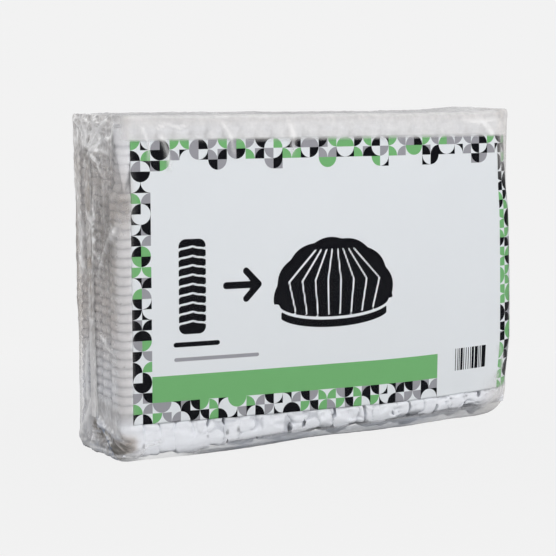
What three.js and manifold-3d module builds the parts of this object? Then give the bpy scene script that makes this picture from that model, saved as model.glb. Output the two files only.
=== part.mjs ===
// A clear film bag of folded pleated caps with a printed sheet, standing on one long side.
// Millimetres. +X runs along the bag, -Y is its printed front and +Z is up.

import * as THREE from 'three';
import Module from 'manifold-3d';

const wasm = await Module();
wasm.setup();

// Caps: each is one pleated strip, folded up and stood on end, in rows from front to back.
const COLUMNS = 25;
const ROWS = 4;
const CAP_WIDTH = 9.4;
const CAP_DEPTH = 14;
const STRIP_LENGTH = 533;
const STRIP_LAYERS = 3;
const RIB_PITCH = 4.9;
const RIB_DENT = 0.7;
const TUFT_HEIGHT = 9;
const FOOT_RAGGED = 1.6;
const HEAD_RAGGED = 2.2;
const RAGGED_STEP = 2.4;

// Clearances between pieces that lie against each other.
const CAP_GAP = 0.35;
const SEAT_GAP = 0.3;

// Bag: thin film, loose at both ends and above the caps. Its ends are folded in to the seals.
const FILM_WALL = 0.8;
const FACE_SLACK = 0.5;
const END_SLACK = 3.4;
const END_DISH = 1.6;
const HEADROOM = 4.6;
const FOOT_CLEARANCE = 1.5;
const RIGHT_END_RADIUS = 12;
const LEFT_END_RADIUS = 8;
const TOP_RADIUS = 3;
const BACK_BASE_RADIUS = 6;
const FRONT_BASE_RADIUS_LEFT = 6;
const FRONT_BASE_RADIUS_MIDDLE = 15;
const FRONT_BASE_RADIUS_RIGHT = 18;
const SEAM_SLIT = 0.4;
const SEAM_LENGTH = 150;

// End seals: a doubled strip of film, folded flat down the middle of each end.
const SEAL_WIDTH = 6;
const SEAL_THICKNESS = 1;
const SEAL_LENGTH = 140;
const SEAL_OFFSET = 8;

// Printed sheet: its print is a grid of square cells, and it wraps round the right corner.
const SHEET_WALL = 0.5;
const PRINT_CELL = 5.6;
const CELLS_WIDE = 41;
const CELLS_TALL = 27;
const SHEET_BASE = 20;
const SHEET_SHIFT = -3;

// How the soft pack settles: bulging faces, a lifted right end and ends that tuck in.
const FACE_BULGE = 2.5;
const END_LIFT = 5;
const RIGHT_TUCK_BASE = 4;
const RIGHT_TUCK_TOP = 3;
const LEFT_TUCK_BASE = 1.3;

// Forms: shares of the sizes above.
const LIFT_START = 0.2;
const SWELL_SHARE = 0.36;
const BULGE_EDGE_SHARE = 0.6;
const EAR_SHARE = 0.25;
const EAR_START = 0.75;
const BASE_PULL_SHARE = 0.4;
const END_RING_SHARE = 0.4;

// Rings of a cap's end tuft: rise is a share of the tuft's height, size one of the cap's section.
const TUFT_RINGS = [
  { rise: 0, size: 0.45 },
  { rise: 0.4, size: 0.85 },
  { rise: 1, size: 1 },
];

// Fineness of the facets.
const ARC_STEPS = 3;
const LONG_SIDE_STEPS = 6;
const SHORT_SIDE_STEPS = 2;
const BAG_STATIONS = 6;
const SHEET_STATIONS = 10;
const SHEET_LEVELS = 6;
const SEAL_LEVELS = 4;

// Sizes that follow.
const CAP_LENGTH = STRIP_LENGTH / STRIP_LAYERS;
const COLUMN_PITCH = CAP_WIDTH + CAP_GAP;
const ROW_PITCH = CAP_DEPTH + CAP_GAP;
const BLOCK_HALF_WIDTH = (COLUMNS * COLUMN_PITCH - CAP_GAP) / 2;
const BLOCK_HALF_DEPTH = (ROWS * ROW_PITCH - CAP_GAP) / 2;
const FACE_STACK = SEAT_GAP + SHEET_WALL + SEAT_GAP + FILM_WALL;
const HALF_WIDTH = BLOCK_HALF_WIDTH + END_SLACK + FILM_WALL;
const HALF_DEPTH = BLOCK_HALF_DEPTH + FACE_SLACK + FACE_STACK;
const CAP_FOOT = FILM_WALL + FOOT_CLEARANCE;
const HEIGHT = CAP_FOOT + CAP_LENGTH + HEADROOM + FILM_WALL;

// The pack's shared settling: every piece is drawn straight and then passed through this.
function settle(x, y, z) {
  const along = x / HALF_WIDTH;
  const up = z / HEIGHT;
  const right = Math.max(0, along);
  const left = Math.max(0, -along);
  const belly = BULGE_EDGE_SHARE + (1 - BULGE_EDGE_SHARE) * Math.sin(Math.PI * up);
  const bulge = FACE_BULGE * (1 - Math.min(1, along ** 2)) * belly;
  const lift = Math.max(0, (along - LIFT_START) / (1 - LIFT_START));
  const below = Math.max(0, 1 - up / SWELL_SHARE);
  const above = Math.max(0, (up - SWELL_SHARE) / (1 - SWELL_SHARE));
  const rightTuck = RIGHT_TUCK_BASE * below ** 2 + RIGHT_TUCK_TOP * above ** 2;
  const leftTuck = LEFT_TUCK_BASE * (1 - up);
  return new THREE.Vector3(
    x - right ** 3 * rightTuck + left ** 3 * leftTuck,
    y * (1 + bulge / HALF_DEPTH),
    z + END_LIFT * lift ** 2 * (1 - up),
  );
}

// A closed mesh from points and triangles, with its faces turned outwards.
function closedMesh(points, triangles) {
  let volume = 0;
  for (const [a, b, c] of triangles) {
    volume += points[a].dot(new THREE.Vector3().crossVectors(points[b], points[c]));
  }
  const index = triangles.flatMap(([a, b, c]) => (volume > 0 ? [a, b, c] : [a, c, b]));
  const geometry = new THREE.BufferGeometry().setFromPoints(points);
  geometry.setIndex(index);
  geometry.computeVertexNormals();
  return geometry;
}

// A solid through rings of the same count of points, closed by a fan at each end.
function ringSolid(rings) {
  const count = rings[0].length;
  const points = rings.flat();
  const triangles = [];
  for (let ring = 0; ring < rings.length - 1; ring += 1) {
    for (let side = 0; side < count; side += 1) {
      const next = (side + 1) % count;
      const [a, b] = [ring * count + side, ring * count + next];
      const [c, d] = [a + count, b + count];
      triangles.push([a, b, d], [a, d, c]);
    }
  }
  for (const ring of [0, rings.length - 1]) {
    const middle = points.length;
    const centre = new THREE.Vector3();
    rings[ring].forEach((point) => centre.addScaledVector(point, 1 / count));
    points.push(centre);
    for (let side = 0; side < count; side += 1) {
      const fan = [middle, ring * count + ((side + 1) % count), ring * count + side];
      triangles.push(ring === 0 ? fan : fan.reverse());
    }
  }
  return closedMesh(points, triangles);
}

// A wall between two grids of points, closed round its four edges.
function gridWall(outer, inner) {
  const [rows, columns] = [outer.length, outer[0].length];
  const points = [...outer.flat(), ...inner.flat()];
  const at = (layer, row, column) => (layer * rows + row) * columns + column;
  const triangles = [];
  const quad = (a, b, c, d) => triangles.push([a, b, c], [a, c, d]);
  for (let row = 0; row < rows - 1; row += 1) {
    for (let column = 0; column < columns - 1; column += 1) {
      const corners = [[row, column], [row, column + 1], [row + 1, column + 1], [row + 1, column]];
      quad(...corners.map(([r, c]) => at(0, r, c)));
      quad(...corners.reverse().map(([r, c]) => at(1, r, c)));
    }
  }
  const rim = [];
  for (let column = 0; column < columns - 1; column += 1) rim.push([0, column]);
  for (let row = 0; row < rows - 1; row += 1) rim.push([row, columns - 1]);
  for (let column = columns - 1; column > 0; column -= 1) rim.push([rows - 1, column]);
  for (let row = rows - 1; row > 0; row -= 1) rim.push([row, 0]);
  rim.forEach(([row, column], step) => {
    const [nextRow, nextColumn] = rim[(step + 1) % rim.length];
    quad(
      at(0, nextRow, nextColumn),
      at(0, row, column),
      at(1, row, column),
      at(1, nextRow, nextColumn),
    );
  });
  return closedMesh(points, triangles);
}

// Between a geometry and a solid that can be joined or cut.
function toSolid(geometry) {
  return new wasm.Manifold(new wasm.Mesh({
    numProp: 3,
    vertProperties: new Float32Array(geometry.getAttribute('position').array),
    triVerts: new Uint32Array(geometry.getIndex().array),
  }));
}

function toGeometry(solid) {
  const mesh = solid.getMesh();
  const geometry = new THREE.BufferGeometry();
  geometry.setAttribute('position', new THREE.BufferAttribute(mesh.vertProperties, 3));
  geometry.setIndex(new THREE.BufferAttribute(mesh.triVerts, 1));
  geometry.computeVertexNormals();
  return geometry;
}

// Radius of the bag's lower front edge, which grows from the left end to the right.
function frontBaseRadius(x) {
  const along = THREE.MathUtils.clamp(x / HALF_WIDTH, -1, 1);
  const [from, to] = along < 0
    ? [FRONT_BASE_RADIUS_MIDDLE, FRONT_BASE_RADIUS_LEFT]
    : [FRONT_BASE_RADIUS_MIDDLE, FRONT_BASE_RADIUS_RIGHT];
  return THREE.MathUtils.lerp(from, to, Math.abs(along));
}

// The bag's section at x as points [y, z], from the back's top corner over the front to the back.
function bagSection(x) {
  const front = frontBaseRadius(x);
  const corners = [
    { y: HALF_DEPTH - TOP_RADIUS, z: HEIGHT - TOP_RADIUS, radius: TOP_RADIUS },
    { y: TOP_RADIUS - HALF_DEPTH, z: HEIGHT - TOP_RADIUS, radius: TOP_RADIUS },
    { y: front - HALF_DEPTH, z: front, radius: front },
    { y: HALF_DEPTH - BACK_BASE_RADIUS, z: BACK_BASE_RADIUS, radius: BACK_BASE_RADIUS },
  ];
  const arcs = corners.map(({ y, z, radius }, quarter) => {
    const steps = Array.from({ length: ARC_STEPS + 1 }, (_, step) => quarter + step / ARC_STEPS);
    return steps.map((turn) => [
      y + radius * Math.cos(turn * Math.PI / 2),
      z + radius * Math.sin(turn * Math.PI / 2),
    ]);
  });
  return arcs.flatMap((arc, index) => {
    const from = arc[ARC_STEPS];
    const to = arcs[(index + 1) % arcs.length][0];
    const steps = index % 2 ? LONG_SIDE_STEPS : SHORT_SIDE_STEPS;
    const side = Array.from({ length: steps - 1 }, (_, step) => (step + 1) / steps);
    return [...arc, ...side.map((share) => from.map((value, axis) => (
      THREE.MathUtils.lerp(value, to[axis], share))))];
  });
}

// Where the bag's sections stand: x, how far the rounded ends pull each one in, and its spread,
// which is below 1 for the ring that lies within the flat of an end.
function bagStations(wall) {
  const [left, right] = [[-1, LEFT_END_RADIUS], [1, RIGHT_END_RADIUS]].map(([side, outside]) => {
    const flat = HALF_WIDTH - outside;
    const radius = outside - wall;
    const turn = Array.from({ length: ARC_STEPS + 1 }, (_, step) => {
      const angle = step / ARC_STEPS * Math.PI / 2;
      const pull = radius * (1 - Math.cos(angle));
      return { x: side * (flat + radius * Math.sin(angle)), pull, spread: 1 };
    });
    return [...turn, { ...turn[ARC_STEPS], spread: END_RING_SHARE }];
  });
  const middle = Array.from({ length: BAG_STATIONS - 1 }, (_, step) => (
    { x: THREE.MathUtils.lerp(left[0].x, right[0].x, (step + 1) / BAG_STATIONS), pull: 0, spread: 1 }));
  return [...left.reverse(), ...middle, ...right];
}

// The bag's closed form, drawn in from the outside by a wall's thickness.
function bagForm(wall) {
  const rings = bagStations(wall).map(({ x, pull, spread }) => bagSection(x).map(([y, z]) => {
    const ear = Math.max(0, z / HEIGHT - EAR_START) / (1 - EAR_START);
    const sidePull = pull * THREE.MathUtils.lerp(1, EAR_SHARE, ear);
    const drawnY = y * (1 - (sidePull + wall) / HALF_DEPTH);
    const basePull = pull * BASE_PULL_SHARE;
    const raised = basePull + z * (HEIGHT - basePull) / HEIGHT;
    const drawnZ = wall + raised * (HEIGHT - 2 * wall) / HEIGHT;
    const spreadZ = THREE.MathUtils.lerp(HEIGHT / 2, drawnZ, spread);
    const dished = spread < 1 ? x - Math.sign(x) * END_DISH : x;
    return settle(dished, spread * drawnY, spreadZ);
  }));
  return ringSolid(rings);
}

// An upright bar with a rectangular section at the given heights, settled with the pack.
function uprightBar(xRange, yRange, heights, shift = () => 0) {
  const corners = [[0, 0], [1, 0], [1, 1], [0, 1]];
  const rings = heights.map((z) => corners.map(([across, deep]) => (
    settle(xRange[across] + shift(z), yRange[deep], z))));
  return ringSolid(rings);
}

// How deep an end is folded in at height z: fully between the ends of its inner ring.
function dishDepth(z) {
  const edge = 1 - Math.abs(2 * z / HEIGHT - 1);
  return END_DISH * Math.min(1, edge / (1 - END_RING_SHARE));
}

// The seal strip down one end: side is -1 at the left and 1 at the right.
function endSeal(side) {
  const faces = [HALF_WIDTH - FILM_WALL / 2, HALF_WIDTH + SEAL_THICKNESS];
  const xRange = faces.map((face) => side * face);
  const yRange = [SEAL_OFFSET, SEAL_OFFSET + SEAL_WIDTH];
  const heights = Array.from({ length: SEAL_LEVELS + 1 }, (_, level) => (
    HEIGHT / 2 + SEAL_LENGTH * (level / SEAL_LEVELS - 0.5)));
  return uprightBar(xRange, yRange, heights, (z) => -side * dishDepth(z));
}

// The film bag: a thin closed wall with its end seals, open only along the seam in its back.
function filmBag() {
  const seamY = [HALF_DEPTH - FACE_STACK, HALF_DEPTH + FACE_BULGE + FACE_STACK];
  const seamZ = [(HEIGHT - SEAM_LENGTH) / 2, (HEIGHT + SEAM_LENGTH) / 2];
  const seam = uprightBar([-SEAM_SLIT / 2, SEAM_SLIT / 2], seamY, seamZ);
  const wall = toSolid(bagForm(0)).subtract(toSolid(bagForm(FILM_WALL)));
  const sealed = [-1, 1].reduce((film, side) => film.add(toSolid(endSeal(side))), wall);
  return toGeometry(sealed.subtract(toSolid(seam)));
}

// The printed sheet's route in plan: along the front and round most of the right corner.
function sheetRoute(depth) {
  const radius = RIGHT_END_RADIUS - depth;
  const start = SHEET_SHIFT - CELLS_WIDE * PRINT_CELL / 2;
  const flat = HALF_WIDTH - RIGHT_END_RADIUS;
  const front = Array.from({ length: SHEET_STATIONS + 1 }, (_, step) => (
    [THREE.MathUtils.lerp(start, flat, step / SHEET_STATIONS), depth - HALF_DEPTH]));
  const corner = Array.from({ length: ARC_STEPS - 1 }, (_, step) => {
    const angle = (step + 1) / ARC_STEPS * Math.PI / 2;
    return [
      flat + radius * Math.sin(angle),
      RIGHT_END_RADIUS - HALF_DEPTH - radius * Math.cos(angle),
    ];
  });
  return [...front, ...corner];
}

function printedSheet() {
  const outside = FILM_WALL + SEAT_GAP;
  const [outer, inner] = [outside, outside + SHEET_WALL].map((depth) => {
    const levels = Array.from({ length: SHEET_LEVELS + 1 }, (_, level) => level / SHEET_LEVELS);
    return levels.map((share) => sheetRoute(depth).map(([x, y]) => (
      settle(x, y, SHEET_BASE + share * CELLS_TALL * PRINT_CELL))));
  });
  return gridWall(outer, inner);
}

// Middle of a column along X and of a row along Y.
const columnMiddle = (column) => (column - (COLUMNS - 1) / 2) * COLUMN_PITCH;
const rowMiddle = (row) => (row - (ROWS - 1) / 2) * ROW_PITCH;

// How far the bag's rounded upright corners draw its front and back in at x.
function cornerPull(x) {
  const radius = x < 0 ? LEFT_END_RADIUS : RIGHT_END_RADIUS;
  const past = Math.max(0, Math.abs(x) - (HALF_WIDTH - radius));
  return radius - Math.sqrt(radius ** 2 - past ** 2);
}

// How high the rounded lower edge of the bag lifts the foot of a cap in an outer row.
function footHeight(column, row) {
  const radius = row === 0 ? frontBaseRadius(columnMiddle(column)) : BACK_BASE_RADIUS;
  const inside = radius - FILM_WALL;
  const pull = cornerPull(columnMiddle(column));
  const rises = TUFT_RINGS.map(({ rise, size }) => {
    const tip = Math.abs(rowMiddle(row)) + size * CAP_DEPTH / 2 + pull;
    const past = THREE.MathUtils.clamp(tip - (HALF_DEPTH - radius), 0, inside);
    return inside - Math.sqrt(inside ** 2 - past ** 2) - rise * TUFT_HEIGHT;
  });
  const ragged = FOOT_RAGGED * (1 + Math.sin((column + ROWS * row) * RAGGED_STEP)) / 2;
  return CAP_FOOT + Math.max(...rises) + ragged;
}

// How far a cap's folded head stays below the highest one.
function headDrop(column, row) {
  return HEAD_RAGGED * (1 + Math.cos((column + ROWS * row) * RAGGED_STEP)) / 2;
}

// Heights and sizes of a cap's rings; the ribs between its tufts are cut only where asked for.
function capRings(foot, head, ribbed) {
  const lower = TUFT_RINGS.map(({ rise, size }) => ({ z: foot + rise * TUFT_HEIGHT, dent: 0, size }));
  const upper = TUFT_RINGS.map(({ rise, size }) => ({ z: head - rise * TUFT_HEIGHT, dent: 0, size }));
  const length = head - foot - 2 * TUFT_HEIGHT;
  const ribs = ribbed ? Math.round(length / RIB_PITCH) : 1;
  const body = Array.from({ length: 2 * ribs - 1 }, (_, step) => ({
    z: foot + TUFT_HEIGHT + (step + 1) / (2 * ribs) * length,
    dent: ribbed && step % 2 ? 0 : RIB_DENT,
    size: 1,
  }));
  return [...lower, ...body, ...upper.reverse()];
}

// One folded cap: a six-sided bundle whose front and back come to a soft ridge.
function foldedCap(column, row, ribbed) {
  const corners = [[0, 1], [-1, 0.5], [-1, -0.5], [0, -1], [1, -0.5], [1, 0.5]];
  const foot = footHeight(column, row);
  const head = CAP_FOOT + CAP_LENGTH - headDrop(column, row);
  const rings = capRings(foot, head, ribbed).map(({ z, dent, size }) => {
    const halfWidth = size * (CAP_WIDTH / 2 - dent);
    const halfDepth = size * (CAP_DEPTH / 2 - dent);
    return corners.map(([across, deep]) => (
      settle(columnMiddle(column) + across * halfWidth, rowMiddle(row) + deep * halfDepth, z)));
  });
  return ringSolid(rings);
}

// The caps inside one middle row, side by side as one bundle with a ridge for each cap.
function innerRow(row) {
  const [first, last] = [1, COLUMNS - 2];
  const ridge = (column, deep) => [columnMiddle(column), deep * CAP_DEPTH / 2];
  const valley = (column, deep) => [columnMiddle(column) + COLUMN_PITCH / 2, deep * CAP_DEPTH / 4];
  const columns = Array.from({ length: last - first + 1 }, (_, index) => first + index);
  const side = (deep) => columns.flatMap((column) => (
    column < last ? [ridge(column, deep), valley(column, deep)] : [ridge(column, deep)]));
  const endX = columnMiddle(last) + CAP_WIDTH / 2;
  const ends = [1, -1].map((deep) => [endX, deep * CAP_DEPTH / 4]);
  const mirrored = ends.map(([x, y]) => [-x, -y]);
  const outline = [...side(1), ...ends, ...side(-1).reverse(), ...mirrored];
  const shape = new THREE.Shape(outline.map(([x, y]) => new THREE.Vector2(x, y)));
  const bevel = CAP_WIDTH / 4;
  const geometry = new THREE.ExtrudeGeometry(shape, {
    depth: CAP_LENGTH - HEAD_RAGGED - FOOT_RAGGED - 2 * bevel,
    steps: 2,
    bevelSegments: 1,
    bevelThickness: bevel,
    bevelSize: bevel / 2,
    bevelOffset: -bevel / 2,
  });
  geometry.translate(0, rowMiddle(row), CAP_FOOT + FOOT_RAGGED + bevel);
  const place = geometry.getAttribute('position');
  for (let index = 0; index < place.count; index += 1) {
    const settled = settle(place.getX(index), place.getY(index), place.getZ(index));
    place.setXYZ(index, settled.x, settled.y, settled.z);
  }
  return geometry;
}

const filmMaterial = () => new THREE.MeshStandardMaterial({
  color: 0xd9dbdc, roughness: 0.18, metalness: 0, transparent: true, opacity: 0.3,
});
const sheetMaterial = () => new THREE.MeshStandardMaterial({
  color: 0xdcdfe8, roughness: 0.35, metalness: 0,
});
const capMaterial = () => new THREE.MeshStandardMaterial({
  color: 0xe9eaee, roughness: 0.9, metalness: 0,
});

function named(name, geometry, material) {
  const mesh = new THREE.Mesh(geometry, material);
  mesh.name = name;
  return mesh;
}

const pack = new THREE.Group();
pack.add(named('film_bag', filmBag(), filmMaterial()));
pack.add(named('printed_sheet', printedSheet(), sheetMaterial()));
for (let row = 0; row < ROWS; row += 1) {
  const outerRow = row === 0 || row === ROWS - 1;
  for (let column = 0; column < COLUMNS; column += 1) {
    const endColumn = column === 0 || column === COLUMNS - 1;
    if (outerRow || endColumn) {
      const cap = foldedCap(column, row, column === 0);
      pack.add(named(`cap_row${row + 1}_${column + 1}`, cap, capMaterial()));
    }
  }
  if (!outerRow) {
    pack.add(named(`inner_caps_row${row + 1}`, innerRow(row), capMaterial()));
  }
}

// The origin is the middle of the pack's base.
const extent = new THREE.Box3().setFromObject(pack);
const middle = extent.getCenter(new THREE.Vector3());
pack.position.set(-middle.x, -middle.y, -extent.min.z);

export default pack;
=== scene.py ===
"""Looks for a clear film bag of folded pleated caps with a printed sheet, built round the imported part.

Sizes are in millimetres unless a name says otherwise. Every piece is first worked out on the straight pack,
as a surface of two parameters, and is then settled into the slightly slumped pack that the part has.
"""

import math
from types import SimpleNamespace

import bpy
import numpy as np
from mathutils import Matrix, Vector


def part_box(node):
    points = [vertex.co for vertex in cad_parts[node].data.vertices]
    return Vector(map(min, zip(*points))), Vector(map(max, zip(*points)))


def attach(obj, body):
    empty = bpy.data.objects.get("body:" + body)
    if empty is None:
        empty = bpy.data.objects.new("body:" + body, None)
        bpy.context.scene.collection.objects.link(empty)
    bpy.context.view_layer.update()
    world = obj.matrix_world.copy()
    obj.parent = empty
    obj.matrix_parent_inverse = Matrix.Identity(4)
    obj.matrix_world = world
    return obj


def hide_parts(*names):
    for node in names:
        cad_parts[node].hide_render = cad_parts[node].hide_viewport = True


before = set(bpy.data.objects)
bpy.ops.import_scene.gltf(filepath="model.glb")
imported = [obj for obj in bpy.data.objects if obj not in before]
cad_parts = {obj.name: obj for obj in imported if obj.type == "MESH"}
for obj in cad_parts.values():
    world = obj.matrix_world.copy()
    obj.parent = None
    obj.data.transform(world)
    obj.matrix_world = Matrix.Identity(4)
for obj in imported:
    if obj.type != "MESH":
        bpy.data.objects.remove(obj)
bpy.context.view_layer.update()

bl_info = {
    "name": "Bag of folded caps",
    "version": (1, 0, 0),
    "blender": (4, 5, 0),
    "location": "View3D > Sidebar > Cap bag",
    "description": "Builds the cloth, print and film of a bag of folded pleated caps",
    "category": "Add Mesh",
}

ROOT = "root"
MM = 0.001

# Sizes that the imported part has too.
COLUMNS = 25
ROWS = 4
CAP_WIDTH = 9.4
CAP_DEPTH = 14.0
CAP_LENGTH = 533.0 / 3
RIB_PITCH = 4.9
TUFT_HEIGHT = 9.0
FOOT_RAGGED = 1.6
HEAD_RAGGED = 2.2
RAGGED_STEP = 2.4
CAP_GAP = 0.35
SEAT_GAP = 0.3
FILM_WALL = 0.8
FACE_SLACK = 0.5
END_SLACK = 3.4
END_DISH = 1.6
HEADROOM = 4.6
FOOT_CLEARANCE = 1.5
RIGHT_END_RADIUS = 12.0
LEFT_END_RADIUS = 8.0
TOP_RADIUS = 3.0
BACK_BASE_RADIUS = 6.0
FRONT_BASE_RADIUS_LEFT = 6.0
FRONT_BASE_RADIUS_MIDDLE = 15.0
FRONT_BASE_RADIUS_RIGHT = 18.0
SHEET_WALL = 0.5
PRINT_CELL = 5.6
CELLS_WIDE = 41
CELLS_TALL = 27
SHEET_BASE = 20.0
SHEET_SHIFT = -3.0
FACE_BULGE = 2.5
END_LIFT = 5.0
RIGHT_TUCK_BASE = 4.0
RIGHT_TUCK_TOP = 3.0
LEFT_TUCK_BASE = 1.3
LIFT_START = 0.2
SWELL_SHARE = 0.36
BULGE_EDGE_SHARE = 0.6
EAR_SHARE = 0.25
EAR_START = 0.75
BASE_PULL_SHARE = 0.4
TUFT_SIZES = ((0.0, 0.45), (0.4, 0.85), (1.0, 1.0))

# Sizes that follow.
COLUMN_PITCH = CAP_WIDTH + CAP_GAP
ROW_PITCH = CAP_DEPTH + CAP_GAP
BLOCK_HALF_WIDTH = (COLUMNS * COLUMN_PITCH - CAP_GAP) / 2
BLOCK_HALF_DEPTH = (ROWS * ROW_PITCH - CAP_GAP) / 2
FACE_STACK = SEAT_GAP + SHEET_WALL + SEAT_GAP + FILM_WALL
HALF_WIDTH = BLOCK_HALF_WIDTH + END_SLACK + FILM_WALL
HALF_DEPTH = BLOCK_HALF_DEPTH + FACE_SLACK + FACE_STACK
CAP_FOOT = FILM_WALL + FOOT_CLEARANCE
HEIGHT = CAP_FOOT + CAP_LENGTH + HEADROOM + FILM_WALL
SHEET_START = SHEET_SHIFT - CELLS_WIDE * PRINT_CELL / 2
SHEET_DEPTH = FILM_WALL + SEAT_GAP

# How the seen pack departs from the part: its right top leans in, its lower front edge is raised, its top
# lies flatter and its right end swells at some heights.
LEAN = 2.0
RAISE = 2.7
FLATTEN = 1.8
SWELL_HEIGHTS = (0, 12, 25, 49, 65, 126, 140)
SWELLS = (1.5, 2.0, 0.8, 2.4, 2.0, 1.0, 0.0)

# Cloth: how far neighbouring feet lap and part, how high the front feet stand along x, the heights between
# which a foot spreads, and for caps seen close and for the rest a rib's squareness, sway, roundness and
# depth. Grid points go round a cap by how much of it is seen. The lobe is the corner cap's drooping end.
POINTS_ROUND = {"covered": 40, "ribbed": 28, "plain": 24}
FOOT_LAP = 0.9
FOOT_PART = 2.3
FOOT_PLACES = (-120, -80, -62, 7, 65, 95, 120)
FOOT_HEIGHTS = (1.4, 1.7, 4.2, 5.4, 7.6, 9.0, 9.6)
CLOSE_RIBS = (0.5, 0.16, 0.42, 1.35)
OTHER_RIBS = (0.66, 0.35, 0.5, 0.8)
END_SQUARENESS = 0.42
FOOT_SPREAD = (25, 9)
CLOTH_MARGIN = 0.45
LOBE_TIP = 144.0
LOBE_TOP = 178.0
LOBE_FOLD = 167.0

# Print, in cells of its grid: the border's inner edges, the band and the stripes as boxes of low and high
# places, how many stripes fit in a cell, what share of them is bare, and the discs in the border.
BORDER_LOW = 2.0
BORDER_RIGHT = 41.4
BORDER_TOP = 25.0
BORDER_END = 34.0
BAND = (2.0, 34.0, 2.0, 4.5)
STRIPES = (36.1, 40.0, 2.5, 4.8)
STRIPES_IN_CELL = 11.0
STRIPES_BARE = 0.46
DISC_RADIUS = 0.985

# The sheet in millimetres: its wall, grid, the rise and end of its waves, the drawn sign, and its two bars as
# paths with their half widths.
PAPER_WALL = 0.3
SHEET_COLUMNS, SHEET_ROWS = 244, 152
SHEET_RISE = 0.85
WAVES_FADE, WAVES_END = 200, 225
DARK_BAR = (((25, 41.5), (50, 41.5)), 1.3)
GREY_BAR = (((25, 33.5), (74, 33.5)), 1.0)
SIGN_MIDDLE = (122.0, 63.0)
SIGN_HALF_WIDTH = 37.0
SIGN_HEIGHT = 32.0
SAG_HALF_WIDTH = 35.0
SAG = 8.5
SAG_START = 4.0

# Film: the seal line up each end, the strip folded over it, and the film's grid.
SEAL_LOW, SEAL_HIGH = 17.0, 164.0
SEAL_FOOT_Y, SEAL_HEAD_Y = 4.0, 9.5
SEAL_REACH = 6.5
STRIP_STEPS = 5
TURN_STEPS = 9
LEFT_STEPS, RIGHT_STEPS = 46, 34
MIDDLE_STEPS = 168
CORNER_STEPS = (5, 5, 17, 5)
SIDE_STEPS = (34, 112, 36, 74)

# How far the right top corner stands up, the low fold with painted shade and the path of painted glints on
# the left end as (y, z), the line of painted shadow under the front feet as (x, z), and how high the
# painted shade in the gap under the front feet reaches along x.
CORNER_TIP = 1.9
LOW_FOLD = ((6, 15), (-12, 11), (-31, 6))
GLINTS = ((6, 140), (4, 118), (2, 108), (-8, 107))
FEET_SHADOW_LINE = ((-64, 6.4), (-40, 7.4), (-4, 8.2))
GAP_PLACES = (-120, -62, 7, 95, 120)
GAP_HEIGHTS = (1.5, 4.2, 5.4, 9.0, 9.6)

# Camera: its angles in degrees, and its place from the sheet's middle in metres.
CAMERA_YAW = 27.95
CAMERA_PITCH = 5.81
CAMERA_AWAY = 1.1028
CAMERA_ACROSS = 0.02426
CAMERA_OVER = 0.00239
AIM_HEIGHT = 95.6
AIM_INSET = 0.6

# Lights: name, place, width and height in metres, setting for the power, and whether glossy film shows it.
LIGHTS = (
    ("front_softbox", (0.15, -1.35, 0.72), (1.5, 0.9), "key", False),
    ("top_softbox", (0.0, -0.1, 1.3), (1.4, 0.9), "fill", True),
    ("left_softbox", (-1.2, -0.2, 0.35), (0.5, 0.8), "side", True),
    ("rear_strip", (-0.75, 0.95, 0.35), (0.25, 0.9), "rear", True),
    ("rear_softbox", (0.9, 1.2, 0.6), (1.0, 0.8), "back", False),
)
LIGHT_AIM = (0, 0, 0.09)
LIGHT_COLOUR = (1.0, 0.99, 0.98)
SKY_FRONT = (0.06, 0.06, 0.063, 1)
SKY_BACK = (0.80, 0.80, 0.81, 1)
FLOOR_REACH = 6.0
FLOOR_STEPS = 25
FLOOR_DROP = 0.0002


# Small helpers for arrays.


def smooth(share):
    """The share held between 0 and 1 and eased at both ends: three squares less two cubes."""
    held = np.clip(share, 0.0, 1.0)
    return held * held * (3 - 2 * held)


def ramp(value, start, end):
    """The eased share of the way from start to end, which may also run downwards."""
    return smooth((value - start) / (end - start))


def bell(value, middle, half):
    """One at the middle, falling away evenly at both sides: the exponential of less a square."""
    return np.exp(-(((value - middle) / half) ** 2))


def lattice(ix, iy, iz, seed):
    """A fixed value from 0 to 1 for each whole-number point: the fraction of a large sine."""
    mixed = np.sin(ix * 127.1 + iy * 311.7 + iz * 74.7 + seed * 53.3) * 43758.5453
    return mixed - np.floor(mixed)


def noise(x, y, z, seed):
    """Soft noise from 0 to 1: values at the lattice points around each place, blended by eased shares."""
    x, y, z = np.broadcast_arrays(x, y, z)
    fx, fy, fz = np.floor(x), np.floor(y), np.floor(z)
    sx, sy, sz = smooth(x - fx), smooth(y - fy), smooth(z - fz)
    total = 0.0
    for dx in (0, 1):
        for dy in (0, 1):
            for dz in (0, 1):
                share = (sx if dx else 1 - sx) * (sy if dy else 1 - sy) * (sz if dz else 1 - sz)
                total = total + share * lattice(fx + dx, fy + dy, fz + dz, seed)
    return total


def uneven(x, y, z, seed):
    """Soft noise from minus a half to a half."""
    return noise(x, y, z, seed) - 0.5


def ridges(x, y, z, seed):
    """Creased noise from 0 to 1: one where soft noise passes its middle value, falling away at both sides."""
    return 1 - np.abs(2 * noise(x, y, z, seed) - 1)


def path_distance(a, b, points):
    """Distance from each place (a, b) to a path of straight runs through points, and the share along it."""
    best, along = np.full(np.shape(a), 1e9), np.zeros(np.shape(a))
    count = len(points) - 1
    for step in range(count):
        (a0, b0), (a1, b1) = points[step], points[step + 1]
        run = (a1 - a0) ** 2 + (b1 - b0) ** 2
        share = np.clip(((a - a0) * (a1 - a0) + (b - b0) * (b1 - b0)) / run, 0, 1)
        far = np.hypot(a - a0 - share * (a1 - a0), b - b0 - share * (b1 - b0))
        nearer = far < best
        best, along = np.where(nearer, far, best), np.where(nearer, (step + share) / count, along)
    return best, along


# The pack's own form.


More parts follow.
